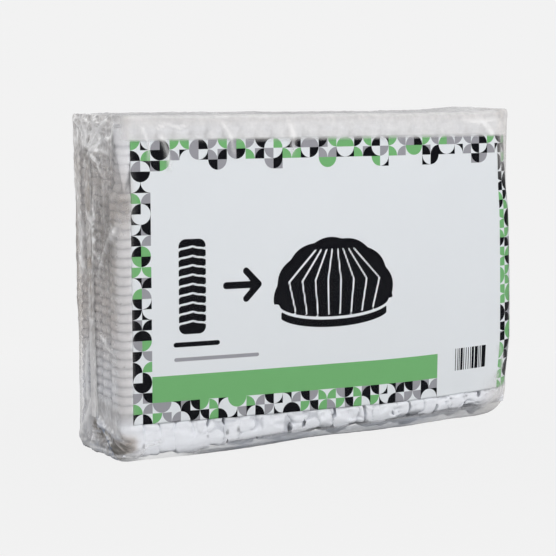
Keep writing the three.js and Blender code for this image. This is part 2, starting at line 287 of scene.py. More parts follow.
def settle(x, y, z):
    """The settled place of a straight one: faces bulge, the right end lifts and both ends tuck in."""
    along, up = x / HALF_WIDTH, z / HEIGHT
    right, left = np.maximum(0, along), np.maximum(0, -along)
    belly = BULGE_EDGE_SHARE + (1 - BULGE_EDGE_SHARE) * np.sin(math.pi * up)
    bulge = FACE_BULGE * (1 - np.minimum(1, along**2)) * belly
    lift = np.maximum(0, (along - LIFT_START) / (1 - LIFT_START))
    below = np.maximum(0, 1 - up / SWELL_SHARE)
    above = np.maximum(0, (up - SWELL_SHARE) / (1 - SWELL_SHARE))
    right_tuck = RIGHT_TUCK_BASE * below**2 + RIGHT_TUCK_TOP * above**2
    left_tuck = LEFT_TUCK_BASE * (1 - up)
    return (
        x - right**3 * right_tuck + left**3 * left_tuck,
        y * (1 + bulge / HALF_DEPTH),
        z + END_LIFT * lift**2 * (1 - up),
    )


def shift_of_pack():
    """How far the part was moved along X to centre it, found from the printed sheet's left edge."""
    top = SHEET_BASE + CELLS_TALL * PRINT_CELL
    drawn = settle(SHEET_START, SHEET_DEPTH - HALF_DEPTH, top)[0]
    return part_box("printed_sheet")[0].x / MM - drawn


PACK_SHIFT = shift_of_pack()


def in_place(x, y, z):
    """Points in metres in the part's frame for straight places in millimetres."""
    x, y, z = np.broadcast_arrays(x, y, z)
    leaning = LEAN * ramp(x, 108, 126) * ramp(z, 110, 180)
    raised = RAISE * ramp(x, -62, 13) * (1 - 0.5 * ramp(x, 85, 120)) * ramp(-y, 4, 18) * ramp(z, 20, 2)
    flattened = FLATTEN * ramp(z, 172, 184)
    swollen = np.interp(z, SWELL_HEIGHTS, SWELLS) * ramp(x, 98, 124)
    x, y, z = settle(x - leaning + swollen, y, z + raised - flattened)
    return np.stack([x + PACK_SHIFT, y, z], -1) * MM


def front_base_radius(x):
    """Radius of the bag's lower front edge, which grows from the left end to the right."""
    along = np.clip(x / HALF_WIDTH, -1, 1)
    side = np.where(along < 0, FRONT_BASE_RADIUS_LEFT, FRONT_BASE_RADIUS_RIGHT)
    return FRONT_BASE_RADIUS_MIDDLE + (side - FRONT_BASE_RADIUS_MIDDLE) * np.abs(along)


def drawn_in(a, b, radius, margin, in_corner):
    """Places past a rounded corner's middle, drawn back to a margin inside its radius."""
    far = np.hypot(a, b)
    pull = np.where(in_corner & (far > radius - margin), (radius - margin) / np.maximum(far, 1e-6), 1)
    return a * pull, b * pull


def held_in_film(x, y, z, margin, face_margin):
    """Places pressed back to a margin inside the film: at its faces, its base and its rounded edges."""
    y = np.clip(y, face_margin - HALF_DEPTH, HALF_DEPTH - margin)
    z = np.clip(z, margin, HEIGHT - margin)
    radius = front_base_radius(x)
    dy, dz = y - (radius - HALF_DEPTH), z - radius
    dy, dz = drawn_in(dy, dz, radius, margin, (dy < 0) & (dz < 0))
    y, z = radius - HALF_DEPTH + dy, radius + dz
    end = np.where(x < 0, LEFT_END_RADIUS, RIGHT_END_RADIUS)
    dx, dy = np.abs(x) - (HALF_WIDTH - end), np.abs(y) - (HALF_DEPTH - end)
    past_x, past_y = dx > 0, dy > 0
    dx, dy = drawn_in(dx, dy, end, margin, past_x & past_y)
    x = np.where(past_x, np.sign(x) * (HALF_WIDTH - end + dx), x)
    y = np.where(past_y, np.sign(y) * (HALF_DEPTH - end + dy), y)
    dished = HALF_WIDTH - margin - END_DISH * smooth(1.3 * (1 - np.abs(y) / HALF_DEPTH))
    return np.clip(x, -dished, dished), y, z


# Meshes from grids of points.


def grid_quads(rows, columns, round_columns=False):
    """Quads between neighbouring grid points; the last column joins the first where it runs round."""
    row = np.arange(rows - 1)[:, None]
    column = np.arange(columns if round_columns else columns - 1)[None, :]
    after = (column + 1) % columns
    return np.stack(np.broadcast_arrays(
        row * columns + column, row * columns + after,
        (row + 1) * columns + after, (row + 1) * columns + column), -1).reshape(-1, 4)


def piece(name, points, quads, fans, material, replaces):
    """A smooth mesh object at the origin that rides on the part's body and stands for its named nodes."""
    mesh = bpy.data.meshes.new(name)
    mesh.from_pydata(points.reshape(-1, 3).tolist(), [], [*quads.tolist(), *fans])
    mesh.update()
    mesh.shade_smooth()
    mesh.materials.append(material)
    made = bpy.data.objects.new(name, mesh)
    bpy.context.scene.collection.objects.link(made)
    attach(made, ROOT)
    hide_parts(*replaces)
    return made


def add_attribute(made, name, values):
    """A number on each point of a piece's mesh, for its material to read."""
    attribute = made.data.attributes.new(name, "FLOAT", "POINT")
    attribute.data.foreach_set("value", np.asarray(values, np.float32).ravel())


# Materials.


def scaled(colour, *shares):
    """A colour with its channels multiplied by one share or by three, and full alpha."""
    shares = shares * 3 if len(shares) == 1 else shares
    return (*[min(1, part * share) for part, share in zip(colour, shares)], 1)


class Nodes:
    """The node tree of a material or a world, with short calls for the nodes that this scene uses."""

    def __init__(self, owner, output="OutputMaterial"):
        self.owner = owner
        owner.use_nodes = True
        self.tree = owner.node_tree
        self.tree.nodes.clear()
        self.out = self.add(output)

    def plug(self, socket, value):
        """Gives an input a value, or joins another node's socket to it."""
        if isinstance(value, bpy.types.NodeSocket):
            self.tree.links.new(value, socket)
        else:
            socket.default_value = value

    def add(self, kind, inputs=None, **settings):
        """A node with its settings and its inputs by name or number: values or other nodes' sockets."""
        made = self.tree.nodes.new("ShaderNode" + kind)
        for key, value in settings.items():
            setattr(made, key, value)
        for key, value in (inputs or {}).items():
            self.plug(made.inputs[key], value)
        return made

    def math(self, operation, *values, clamp=False):
        """One step of arithmetic on values or sockets."""
        made = self.add("Math", dict(enumerate(values)), operation=operation, use_clamp=clamp)
        return made.outputs[0]

    def blend(self, share, first, second):
        """A colour between two, by a share from 0 to 1."""
        made = self.add("Mix", {0: share, 6: first, 7: second}, data_type="RGBA")
        return made.outputs[2]

    def cloud(self, scale, detail=2.0, roughness=0.5, stretch=None, turn=None):
        """Noise in the piece's own coordinates, turned and then stretched, with a scale in waves a metre."""
        source = self.add("TexCoord").outputs["Object"]
        if turn:
            source = self.add("Mapping", {"Vector": source, "Rotation": turn}).outputs[0]
        if stretch:
            source = self.add("Mapping", {"Vector": source, "Scale": stretch}).outputs[0]
        return self.add("TexNoise", {"Vector": source, "Scale": scale, "Detail": detail,
                                     "Roughness": roughness}).outputs["Fac"]

    def attribute(self, name):
        """A number that the piece's mesh carries on its points."""
        return self.add("Attribute", attribute_name=name).outputs["Fac"]

    def finish(self, surface):
        """Joins the last shader to the output."""
        self.tree.links.new(surface, self.out.inputs["Surface"])
        return self.owner


def cloth_material(colour):
    """Soft white nonwoven: matt and faintly mottled, with painted shade that greys it in its creases, and
    with a fine bonded dimple and loose fibres in its bump."""
    nodes = Nodes(bpy.data.materials.new("pleated_nonwoven"))
    mottle = nodes.cloud(260.0, 3.0, 0.6)
    fibres = nodes.cloud(2600.0, 4.0, 0.7, stretch=(1.0, 1.0, 2.2))
    place = nodes.add("TexCoord").outputs["Object"]
    dimples = nodes.add("TexVoronoi", {"Vector": place, "Scale": 900.0}).outputs["Distance"]
    shade = nodes.blend(mottle, scaled(colour, 0.93), scaled(colour, 1.04))
    # Painted shade: the crease attribute darkens the cloth towards grey in its grooves, pleats, pits and
    # seams.
    crease_shade = nodes.math("MULTIPLY", nodes.attribute("crease"), 0.8, clamp=True)
    shade = nodes.blend(crease_shade, shade, scaled(colour, 0.36, 0.37, 0.40))
    relief = nodes.math("ADD", nodes.math("MULTIPLY", fibres, 0.6), nodes.math("MULTIPLY", dimples, 0.4))
    bump = nodes.add("Bump", {"Height": relief, "Strength": 0.35, "Distance": 0.0004}).outputs[0]
    cloth = nodes.add("BsdfPrincipled", {
        "Base Color": shade, "Roughness": 0.92, "Normal": bump, "Sheen Weight": 0.25,
        "Sheen Roughness": 0.5, "Specular IOR Level": 0.2, "Subsurface Weight": 0.0})
    return nodes.finish(cloth.outputs[0])


def film_material(clear, smoke, dusk):
    """Clear film: see-through with a haze that grows where folds lie on each other, glossier at a slant.
    Where the dusk attribute is high its haze takes painted shade, warmer on doubled film and broken by
    painted light streaks.
    """
    nodes = Nodes(bpy.data.materials.new("creased_film"))
    haze, smoky, dusky = nodes.attribute("haze"), nodes.attribute("smoke"), nodes.attribute("dusk")
    fine = nodes.cloud(900.0, 4.0, 0.65)
    broad = nodes.cloud(110.0, 3.0, 0.55)
    loose = nodes.math("MULTIPLY_ADD", smoky, 0.30, 0.05)
    wrinkle = nodes.math("ADD", nodes.math("MULTIPLY", broad, 0.7), nodes.math("MULTIPLY", fine, loose))
    bump = nodes.add("Bump", {"Height": wrinkle, "Strength": 0.6, "Distance": 0.0012}).outputs[0]
    mottle = nodes.cloud(420.0, 5.0, 0.72)
    blotch = nodes.math("MULTIPLY_ADD", nodes.cloud(150.0, 3.0, 0.6), 0.8, 0.6)
    cover = nodes.math("MULTIPLY", haze, blotch, clamp=True)
    tint = nodes.blend(smoky, clear, smoke)
    speck = nodes.math("MULTIPLY_ADD", mottle, 3.2, -1.25, clamp=True)
    speck = nodes.math("MULTIPLY", speck, smoky, clamp=True)
    tint = nodes.blend(nodes.math("MULTIPLY", speck, 0.55), tint, dusk)
    # Painted shade: the shade colour, warmer where the film is doubled.
    warm_dusk = scaled((dusk[1],) * 3, 0.95, 0.90, 0.82)
    warm = nodes.math("MULTIPLY", smoky, 2.0, clamp=True)
    # Painted highlights: light streaks that break the painted shade where the film is doubled.
    streak = nodes.cloud(800.0, 2.0, 0.5, stretch=(0.3, 0.12, 1.0), turn=(-0.61, 0.0, 0.0))
    light_streak = nodes.math("MULTIPLY", nodes.math("MULTIPLY_ADD", streak, 4.0, -1.9, clamp=True), warm)
    dusky = nodes.math("MULTIPLY", dusky, nodes.math("SUBTRACT", 1.0, light_streak))
    tint = nodes.blend(dusky, tint, nodes.blend(warm, dusk, warm_dusk))
    veil = nodes.add("BsdfDiffuse", {"Color": tint, "Roughness": 0.4, "Normal": bump}).outputs[0]
    passed = nodes.blend(smoky, (0.985, 0.988, 0.99, 1), (0.95, 0.91, 0.87, 1))
    through = nodes.add("BsdfTransparent", {"Color": passed}).outputs[0]
    body = nodes.add("MixShader", {0: cover, 1: through, 2: veil}).outputs[0]
    facing = nodes.add("LayerWeight", {"Blend": 0.5, "Normal": bump}).outputs["Facing"]
    slant = nodes.math("MULTIPLY_ADD", nodes.math("POWER", facing, 4.5), 0.38, 0.006)
    gloss = nodes.math("MULTIPLY_ADD", cover, 0.07, slant, clamp=True)
    shine = nodes.add("BsdfGlossy", {"Color": (0.95, 0.96, 0.97, 1), "Roughness": 0.10, "Normal": bump})
    return nodes.finish(nodes.add("MixShader", {0: gloss, 1: body, 2: shine.outputs[0]}).outputs[0])


def print_material(paper, black, green, grey):
    """Smooth print paper. A border of square cells in turning colours, a plain band, a block of plain
    stripes and a drawn sign whose edge is where the mesh's ink distance passes zero."""
    nodes = Nodes(bpy.data.materials.new("printed_paper"))
    place = nodes.add("SeparateXYZ", {0: nodes.add("UVMap", uv_map="cells").outputs[0]})
    u, w = place.outputs[0], place.outputs[1]

    def above(value, edge):
        return nodes.math("GREATER_THAN", value, edge)

    def within(value, low, high):
        return nodes.math("MULTIPLY", above(value, low), nodes.math("LESS_THAN", value, high))

    def joined(operation, masks):
        result = masks[0]
        for mask in masks[1:]:
            result = nodes.math(operation, result, mask)
        return result

    def either(*masks):
        return joined("MAXIMUM", masks)

    def both(*masks):
        return joined("MULTIPLY", masks)

    def opposite(mask):
        return nodes.math("SUBTRACT", 1.0, mask)

    def square(value):
        return nodes.math("MULTIPLY", value, value)

    def in_box(low_u, high_u, low_w, high_w):
        return both(within(u, low_u, high_u), within(w, low_w, high_w))

    def random(value, dimensions):
        socket = {"1D": "W", "2D": "Vector"}[dimensions]
        return nodes.add("TexWhiteNoise", {socket: value}, noise_dimensions=dimensions).outputs["Value"]

    def modulo(value, by):
        return nodes.math("FLOORED_MODULO", value, by)

    def differ(first, second):
        return nodes.math("ABSOLUTE", nodes.math("SUBTRACT", first, second))

    column, row = nodes.math("FLOOR", u), nodes.math("FLOOR", w)
    row_above = nodes.math("ADD", row, 1.0)
    tile = nodes.math("FLOOR", nodes.math("MULTIPLY", column, 0.5))
    tile_row = nodes.math("FLOOR", nodes.math("MULTIPLY", row_above, 0.5))
    outward_tile = modulo(nodes.math("ADD", tile, tile_row), 2.0)
    right_cell, upper_cell = modulo(column, 2.0), modulo(row_above, 2.0)
    hanging = both(within(w, BORDER_TOP - 1, BORDER_TOP), within(modulo(tile, 3.0), 0.5, 1.5),
                   within(u, BORDER_LOW, 40.0))
    flip_x = both(differ(right_cell, outward_tile), opposite(hanging))
    flip_x = nodes.math("ADD", flip_x, both(right_cell, hanging))
    flip_z = both(differ(upper_cell, outward_tile), opposite(hanging))
    across = differ(opposite(flip_x), nodes.math("FRACT", u))
    up = differ(opposite(flip_z), nodes.math("FRACT", w))
    from_corner = nodes.math("SQRT", nodes.math("ADD", square(across), square(up)))
    in_disc = nodes.math("LESS_THAN", from_corner, DISC_RADIUS)
    past_right = above(u, BORDER_RIGHT)
    border = either(nodes.math("LESS_THAN", u, BORDER_LOW), past_right, above(w, BORDER_TOP), hanging,
                    both(nodes.math("LESS_THAN", w, BORDER_LOW), nodes.math("LESS_THAN", u, BORDER_END)))
    cell_place = nodes.add("CombineXYZ", {0: column, 1: row}).outputs[0]
    turn = nodes.math("MULTIPLY", random(cell_place, "2D"), 4.6)
    turn = nodes.math("MULTIPLY", turn, opposite(nodes.math("MULTIPLY", past_right, 0.45)))

    def chosen(low, high):
        return within(turn, low, high)

    disc = nodes.blend(chosen(0.5, 1.5), black, green)
    disc = nodes.blend(chosen(2.5, 3.5), disc, grey)
    disc = nodes.blend(chosen(3.5, 4.5), disc, paper)
    ground = nodes.blend(chosen(3.5, 4.5), paper, black)
    ground = nodes.blend(both(chosen(1.5, 2.5), outward_tile), ground, grey)
    cell = nodes.blend(in_disc, ground, disc)
    shade = nodes.blend(border, paper, cell)
    shade = nodes.blend(in_box(*BAND), shade, green)
    bar = random(nodes.math("FLOOR", nodes.math("MULTIPLY", u, STRIPES_IN_CELL)), "1D")
    stripes = both(in_box(*STRIPES), above(bar, STRIPES_BARE))
    shade = nodes.blend(stripes, shade, black)
    ink = nodes.math("MULTIPLY_ADD", nodes.attribute("ink"), 6.0, 0.5, clamp=True)
    shade = nodes.blend(ink, shade, black)
    faint = nodes.math("MULTIPLY_ADD", nodes.attribute("faint_ink"), 8.0, 0.5, clamp=True)
    shade = nodes.blend(faint, shade, grey)
    grain = nodes.cloud(1400.0, 3.0, 0.6)
    shade = nodes.blend(nodes.math("MULTIPLY", grain, 0.012), shade, (0.5, 0.52, 0.56, 1))
    bump = nodes.add("Bump", {"Height": grain, "Strength": 0.06, "Distance": 0.0002}).outputs[0]
    rough = nodes.math("MULTIPLY_ADD", grain, 0.12, 0.42)
    made = nodes.add("BsdfPrincipled", {"Base Color": shade, "Roughness": rough, "Normal": bump,
                                        "Specular IOR Level": 0.05})
    return nodes.finish(made.outputs[0])


def floor_material(level):
    """Pale floor that fades into the pale surroundings: a plain matt floor for the light that it throws
    back, shown almost evenly lit with only a trace of the shadow under the bag."""
    nodes = Nodes(bpy.data.materials.new("pale_floor"))
    place = nodes.add("SeparateXYZ", {0: nodes.add("TexCoord").outputs["Object"]})
    x, y = place.outputs[0], place.outputs[1]
    far = nodes.math("SQRT", nodes.math("ADD", nodes.math("MULTIPLY", x, x), nodes.math("MULTIPLY", y, y)))
    steps = {0: far, 1: 0.10, 2: 0.40, 3: 0.03, 4: 0.0}
    fade = nodes.add("MapRange", steps, interpolation_type="SMOOTHSTEP").outputs[0]
    lit = nodes.add("Emission", {"Color": (level, level, level, 1), "Strength": 1.0}).outputs[0]
    matt = nodes.add("BsdfDiffuse", {"Color": (0.50, 0.50, 0.505, 1)}).outputs[0]
    seen = nodes.add("MixShader", {0: fade, 1: lit, 2: matt}).outputs[0]
    path = nodes.add("LightPath").outputs["Is Camera Ray"]
    return nodes.finish(nodes.add("MixShader", {0: path, 1: matt, 2: seen}).outputs[0])


# Folded caps.


def column_middle(column):
    return (column - (COLUMNS - 1) / 2) * COLUMN_PITCH


def row_middle(row):
    return (row - (ROWS - 1) / 2) * ROW_PITCH


def corner_pull(x):
    """How far the bag's rounded upright corners draw its front and back in at x."""
    radius = LEFT_END_RADIUS if x < 0 else RIGHT_END_RADIUS
    past = max(0.0, abs(x) - (HALF_WIDTH - radius))
    return radius - math.sqrt(radius**2 - past**2)


def foot_height(column, row):
    """How high a foot behind the front row stands over the bag's rounded lower edge, as in the part."""
    inside = BACK_BASE_RADIUS - FILM_WALL
    rises = []
    for rise, size in TUFT_SIZES:
        tip = abs(row_middle(row)) + size * CAP_DEPTH / 2 + corner_pull(column_middle(column))
        past = min(max(tip - (HALF_DEPTH - BACK_BASE_RADIUS), 0), inside)
        rises.append(inside - math.sqrt(inside**2 - past**2) - rise * TUFT_HEIGHT)
    ragged = FOOT_RAGGED * (1 + math.sin((column + ROWS * row) * RAGGED_STEP)) / 2
    return CAP_FOOT + max(rises) + ragged


def head_drop(column, row):
    """How far a cap's folded head stays below the highest one, as in the part."""
    return HEAD_RAGGED * (1 + math.cos((column + ROWS * row) * RAGGED_STEP)) / 2


def cap_levels(length, mode):
    """Heights of a cap's grid rows above its foot: close at both tufts, and some to each rib between them."""
    foot = TUFT_HEIGHT * 2.2 * np.linspace(0, 1, 27) ** 1.35
    head = length - TUFT_HEIGHT * 1.6 * np.linspace(1, 0, 17) ** 1.35
    if mode == "plain":
        foot = foot[::3]
        head = head[::2]
        between = np.linspace(foot[-1], head[0], 8)[1:-1]
    elif mode == "covered":
        between = np.linspace(foot[-1], head[0], 20)[1:-1]
    else:
        shares = (0.0, 0.07, 0.2, 0.5, 0.8, 0.93) if mode == "shown" else (0.0, 0.14, 0.5, 0.86)
        first, last = math.ceil(foot[-1] / RIB_PITCH), math.floor(head[0] / RIB_PITCH)
        between = ((np.arange(first, last)[:, None] + np.array(shares)) * RIB_PITCH).ravel()
        between = between[(between > foot[-1] + 0.3) & (between < head[0] - 0.3)]
    return np.concatenate([foot, between, head])


def front_foot(column):
    """How high the front caps' feet stand: near the film at the left, and higher towards the right."""
    return float(np.interp(column_middle(column), FOOT_PLACES, FOOT_HEIGHTS))


def foot_edge(line, row, deep, z, foot_end):
    """The wavy upright line between two neighbouring feet, the same for both of them."""
    wave = uneven(line * 1.7 + 40 * row, z / 7.0, deep * 0.8, 15)
    return (line - COLUMNS / 2) * COLUMN_PITCH + 5.2 * wave * foot_end * (0 < line < COLUMNS)


def foot_opening(line, row, z, foot_end):
    """How far two neighbouring feet part at their line: nothing in most places and at the left, and a few
    millimetres where slow noise is high."""
    part = ramp(noise(line * 3.1 + 7 * row, z / 6.0, 0.5, 17), 0.56, 0.72)
    return FOOT_PART * part * foot_end * ramp(line, 4, 7) * (0 < line < COLUMNS)


def drawn_out(wave, power):
    """A sine or cosine drawn out towards a square wave by a power below one."""
    return np.sign(wave) * np.abs(wave) ** power


def rounded_end(from_end, reach, power):
    """A share that rises steeply from nothing at an end to one at its reach: a squared-off quarter circle."""
    return (1 - np.clip(1 - from_end / reach, 0, 1) ** power) ** (1 / power)


def cap_grid(column, row, mode, around):
    """One folded cap. Round it runs a rounded rectangle, sine and cosine drawn out by a power; up it, the
    section is pinched at every rib. At both tufts it spreads to wavy lines shared with its neighbours, its
    faces are lumped by soft noise, and its ends are rounded off."""
    seed = column + COLUMNS * row
    pick = lattice(np.arange(12.0), float(seed), 3.0, 1)
    squareness, sway, roundness, rib_depth = CLOSE_RIBS if mode == "shown" else OTHER_RIBS
    foot = front_foot(column) + 1.6 * (pick[7] - 0.5) if row == 0 else foot_height(column, row)
    head = CAP_FOOT + CAP_LENGTH - 0.6 * head_drop(column, row)
    length = head - foot
    level = cap_levels(length, mode)[:, None]
    angle = (np.arange(around) / around * 2 * math.pi)[None, :]
    angle = angle - 0.17 * np.sin(4 * angle)
    from_foot, from_head = level, length - level
    foot_end = ramp(from_foot, *FOOT_SPREAD)
    head_end = smooth(1 - from_head / (TUFT_HEIGHT * 1.7))
    ends = np.maximum(foot_end, head_end)
    squareness = squareness + (END_SQUARENESS - squareness) * ends
    across = drawn_out(np.cos(angle), squareness)
    deep = drawn_out(np.sin(angle), squareness + 0.06)
    up = foot + level

    wobble = 0.3 * np.sin(angle + 6 * pick[0]) + 0.5 * uneven(across * 1.3 + seed, deep * 1.3, level / 17, 4)
    phase = level / RIB_PITCH + wobble * sway
    pillow = np.abs(np.sin(math.pi * phase)) ** roundness
    rib = rib_depth * (1 - pillow) * (1 - 0.85 * ends)
    plump = 0.7 * uneven(across * 1.6 + 3 * seed, deep * 1.6, np.floor(phase) * 1.7, 6) * (1 - ends)
    pleat_turn = 12 * (angle + pick[4]) + 2.5 * noise(across * 2, deep * 2, level / 12, 9)
    pleats = 0.35 * head_end * (1 - np.abs(np.sin(pleat_turn)) ** 0.7)

    round_head = rounded_end(from_head, 2.2, 2.2)
    closing = rounded_end(from_foot, 4.0 + 3 * pick[8], 2.4) * round_head
    left, right = (foot_edge(column + side, row, deep, up, foot_end) for side in (0, 1))
    left_part, right_part = (foot_opening(column + side, row, up, foot_end) for side in (0, 1))
    lap = FOOT_LAP * foot_end * (row == 0)
    left = left + left_part / 2 - lap * ramp(left_part, 0.5, 0) * (column > 0)
    right = right - right_part / 2 + lap * ramp(right_part, 0.5, 0) * (column < COLUMNS - 1)
    half_width = (right - left) / 2 - CAP_GAP / 2 * (1 - ends) + plump - rib
    x = (left + right) / 2 + across * half_width * rounded_end(from_foot, 2.4, 2.4) * round_head
    lumps = 3.2 * uneven(x / 7.5, up / 6, deep * 0.5 + 3 * row, 11)
    lumps = lumps + 1.6 * uneven(x / 3.2, up / 2.8, deep + 3 * row, 12)
    lumps = lumps * (1 + 0.45 * ramp(x, -75, -25))
    pits = 1.6 * ramp(ridges(x / 8.5, up / 8.0, 0.3 + row, 14), 0.9, 0.98) * ramp(x, -100, -60)
    if row == 0:
        deep = drawn_out(deep, 1 - 0.97 * foot_end)
    half_depth = CAP_DEPTH / 2 + plump - rib - pleats + foot_end * (lumps - pits + 0.5) + 0.7 * head_end
    half_depth = half_depth + (0.8 * (1 - across**2) - 0.3) * foot_end * (row == 0)
    y = row_middle(row) + deep * half_depth * closing
    ragged = 5.0 * (noise(x / 8, y / 9, 0.5, 13) - 0.42) + 2.2 * uneven(x / 2.9, y / 4, 0.5, 16)
    z = up + ragged * foot_end**3 - 0.8 * foot_end * (row > 0)
    if column == 0:
        x = x - (3.6 if row == 0 else 2.4) * np.clip(-across, 0, 1) ** 0.8 * closing
    if row == 0:
        y = y - (1.9 * ends if column else 2.1) * np.clip(-deep, 0, 1) ** 0.6 * closing
    # Painted shade on the cloth, which its material reads as the crease attribute: darker in the rib grooves,
    # the pleats at the head, the pits and the seams between feet.
    seam = ramp(np.abs(across), 0.93, 1) * foot_end
    shade_in_creases = rib / 1.2 + pleats + 0.35 * pits * foot_end + 0.08 * seam
    if column == 0 and row == 0:
        x, y, shade_in_creases = drooping_head(x, y, up, across, deep, shade_in_creases)
    up_sheet = (z > SHEET_BASE - 0.6) & (z < SHEET_BASE + CELLS_TALL * PRINT_CELL)
    under_sheet = ramp(x, SHEET_START - 1.4, SHEET_START) * up_sheet * (row == 0)
    face_margin = CLOTH_MARGIN + (FACE_STACK - 0.35) * under_sheet
    x, y, z = held_in_film(x, y, z, CLOTH_MARGIN, face_margin)
    return x, y, z, np.clip(shade_in_creases, 0, 1) * closing


def drooping_head(x, y, z, across, deep, shade_in_creases):
    """The corner cap's folded end hangs over its side: a lobe that narrows downwards to a point, with the
    cloth round it drawn back. Painted shade darkens the cloth beside the lobe, its outline and the fold
    across it; just above the lobe's tip the cap's other painted shade, with that beside the lobe, is halved."""
    share = np.clip((z - LOBE_TIP) / (LOBE_TOP - LOBE_TIP), 0, 1)
    outer = np.maximum(-across, -deep) > 0.2
    side = across * 0.9 - deep * 0.45
    inside = 0.10 + 0.80 * share**0.75 - np.abs(side + 0.10)
    near = ramp(z, LOBE_TIP - 3, LOBE_TIP + 3) * ramp(z, LOBE_TOP + 8, LOBE_TOP + 2) * outer
    beside = (1 - smooth(inside / 0.16 + 0.5)) * near
    fold = bell(z, LOBE_FOLD, 1.1) * outer * 0.6
    rim = bell(inside, 0, 0.10) * outer * (share > 0.02)
    drawn = 3.2 * beside + 1.3 * fold
    shade_in_creases = (shade_in_creases + 0.4 * beside) * (1 - 0.5 * smooth(share * 20)) + 1.0 * rim + 0.6 * fold
    return x + drawn * np.clip(-across, 0, 1), y + drawn * 0.8 * np.clip(-deep, 0, 1), shade_in_creases


def cap_caps(rows, around, start):
    """Fans that close a tube of rings: one round a pole at its foot and one at its head."""
    side = np.arange(around)
    after = (side + 1) % around
    low, high = start + rows * around, start + rows * around + 1
    last = start + (rows - 1) * around
    bottom = np.stack([np.full(around, low), start + after, start + side], -1)
    top = np.stack([np.full(around, high), last + side, last + after], -1)
    return np.concatenate([bottom, top])


def cap_piece(name, places, mode, around, material, replaces):
    """A mesh of one or more folded caps, each a tube of rings closed at both ends."""
    points, quads, fans, creases, start = [], [], [], [], 0
    for column, row in places:
        x, y, z, crease = cap_grid(column, row, mode, around)
        rows = x.shape[0]
        grid = np.stack([x, y, z], -1).reshape(-1, 3)
        poles = np.stack([grid[:around].mean(0), grid[-around:].mean(0)])
        poles[0, 2] += 0.3
        every = np.concatenate([grid, poles])
        points.append(in_place(every[:, 0], every[:, 1], every[:, 2]))
        # The poles at the foot and at the head take painted shade too, more at the foot.
        creases.append(np.concatenate([crease.ravel(), [0.8, 0.5]]))
        quads.append(grid_quads(rows, around, True) + start)
        fans.append(cap_caps(rows, around, start))
        start += len(every)
    made = piece(name, np.concatenate(points), np.concatenate(quads), np.concatenate(fans).tolist(),
                 material, replaces)
    add_attribute(made, "crease", np.concatenate(creases))
    return made


# Printed sheet.


def sheet_route(distance, depth):
    """Plan of the sheet at a distance from its left edge: straight along the front, then round the corner."""
    flat = HALF_WIDTH - RIGHT_END_RADIUS - SHEET_START
    radius = RIGHT_END_RADIUS - depth
    angle = np.maximum(0, distance - flat) / radius
    x = SHEET_START + np.minimum(distance, flat) + radius * np.sin(angle)
    y = np.where(distance <= flat, depth - HALF_DEPTH, RIGHT_END_RADIUS - HALF_DEPTH - radius * np.cos(angle))
    return x, y


def sign_depth(distance, height):
    """The drawn sign as a depth of ink, above zero inside it: a folded cap, an arrow, and the cap opened
    out. Each form is a distance to its outline, less the pleats that are left out of it in fine lines."""
    def away(*path):
        return path_distance(distance, height, path)[0]

    dx, dz = np.abs(distance - 35) - 4, np.abs(height - 72.5) - 21.5
    folded = 4 - np.hypot(np.maximum(dx, 0), np.maximum(dz, 0)) - np.minimum(np.maximum(dx, dz), 0)
    for level in np.arange(52.5, 96, 5.0):
        folded = np.minimum(folded, away((27, level), (35, level + 1.4), (43, level)) - 0.6)
    arrow = 1.9 - np.minimum(away((55, 72), (73, 72)), away((67, 79.5), (74.5, 72), (67, 64.5)))

    middle_x, middle_z = SIGN_MIDDLE
    wide, tall = (distance - middle_x) / SIGN_HALF_WIDTH, (height - middle_z) / SIGN_HEIGHT
    reach = 1 + 0.035 * np.abs(np.sin(np.arctan2(tall, wide) * 6.5))
    sag = sag_height((distance - middle_x) / SAG_HALF_WIDTH)
    dome = np.minimum((reach - np.hypot(wide, tall)) * SIGN_HEIGHT, height - sag - 1.2)
    for turn in np.linspace(-0.82, 0.82, 8):
        low = (middle_x + 30 * turn, sag_height(turn * 30 / SAG_HALF_WIDTH) + 2.5)
        pleat = away(low, (middle_x + 35 * turn, 72), (middle_x + 15 * turn, middle_z + 26))
        dome = np.minimum(dome, pleat - 0.55)
    band = np.minimum(np.minimum(sag - 0.4 - height, height - sag + 4.6), 33.5 - np.abs(distance - middle_x))
    return np.max([folded, arrow, dome, band], 0)


def sag_height(share):
    """Height of the opened cap's lower edge, which sags as half an ellipse, at a share of its half width."""
    return SIGN_MIDDLE[1] - SAG_START - SAG * np.sqrt(1 - np.clip(share, -1, 1) ** 2)


def sheet_grid(columns, rows):
    """The sheet as distance along it by height: its route in plan, pressed into shallow waves by the caps."""
    distance = np.linspace(0, 1, columns)[None, :] * sheet_length()
    height = np.linspace(0, 1, rows)[:, None] * CELLS_TALL * PRINT_CELL
    x, y = sheet_route(distance, SHEET_DEPTH - SHEET_RISE * ramp(distance, WAVES_FADE, WAVES_END))
    wave = 0.35 * uneven(distance / 31, height / 23, 0.0, 21)
    wave = wave + 0.2 * uneven(distance / 9, height / 40, 0.0, 22)
    low = np.exp(-height / 9.0) * 0.35 * np.sin(2 * math.pi * distance / (COLUMN_PITCH * 2.3))
    y = y + (wave + low) * (distance < WAVES_END)
    return np.broadcast_arrays(distance, height, x, y, SHEET_BASE + height)


def sheet_length():
    """Length of the sheet from its left edge to its end two thirds of the way round the right corner."""
    radius = RIGHT_END_RADIUS - SHEET_DEPTH
    return HALF_WIDTH - RIGHT_END_RADIUS - SHEET_START + radius * math.pi / 3


def ink_depth(distance, height, path, half):
    """How far inside a stroke's edge each place lies, in millimetres: below zero outside."""
    return half - path_distance(distance, height, path)[0]


# Film bag.


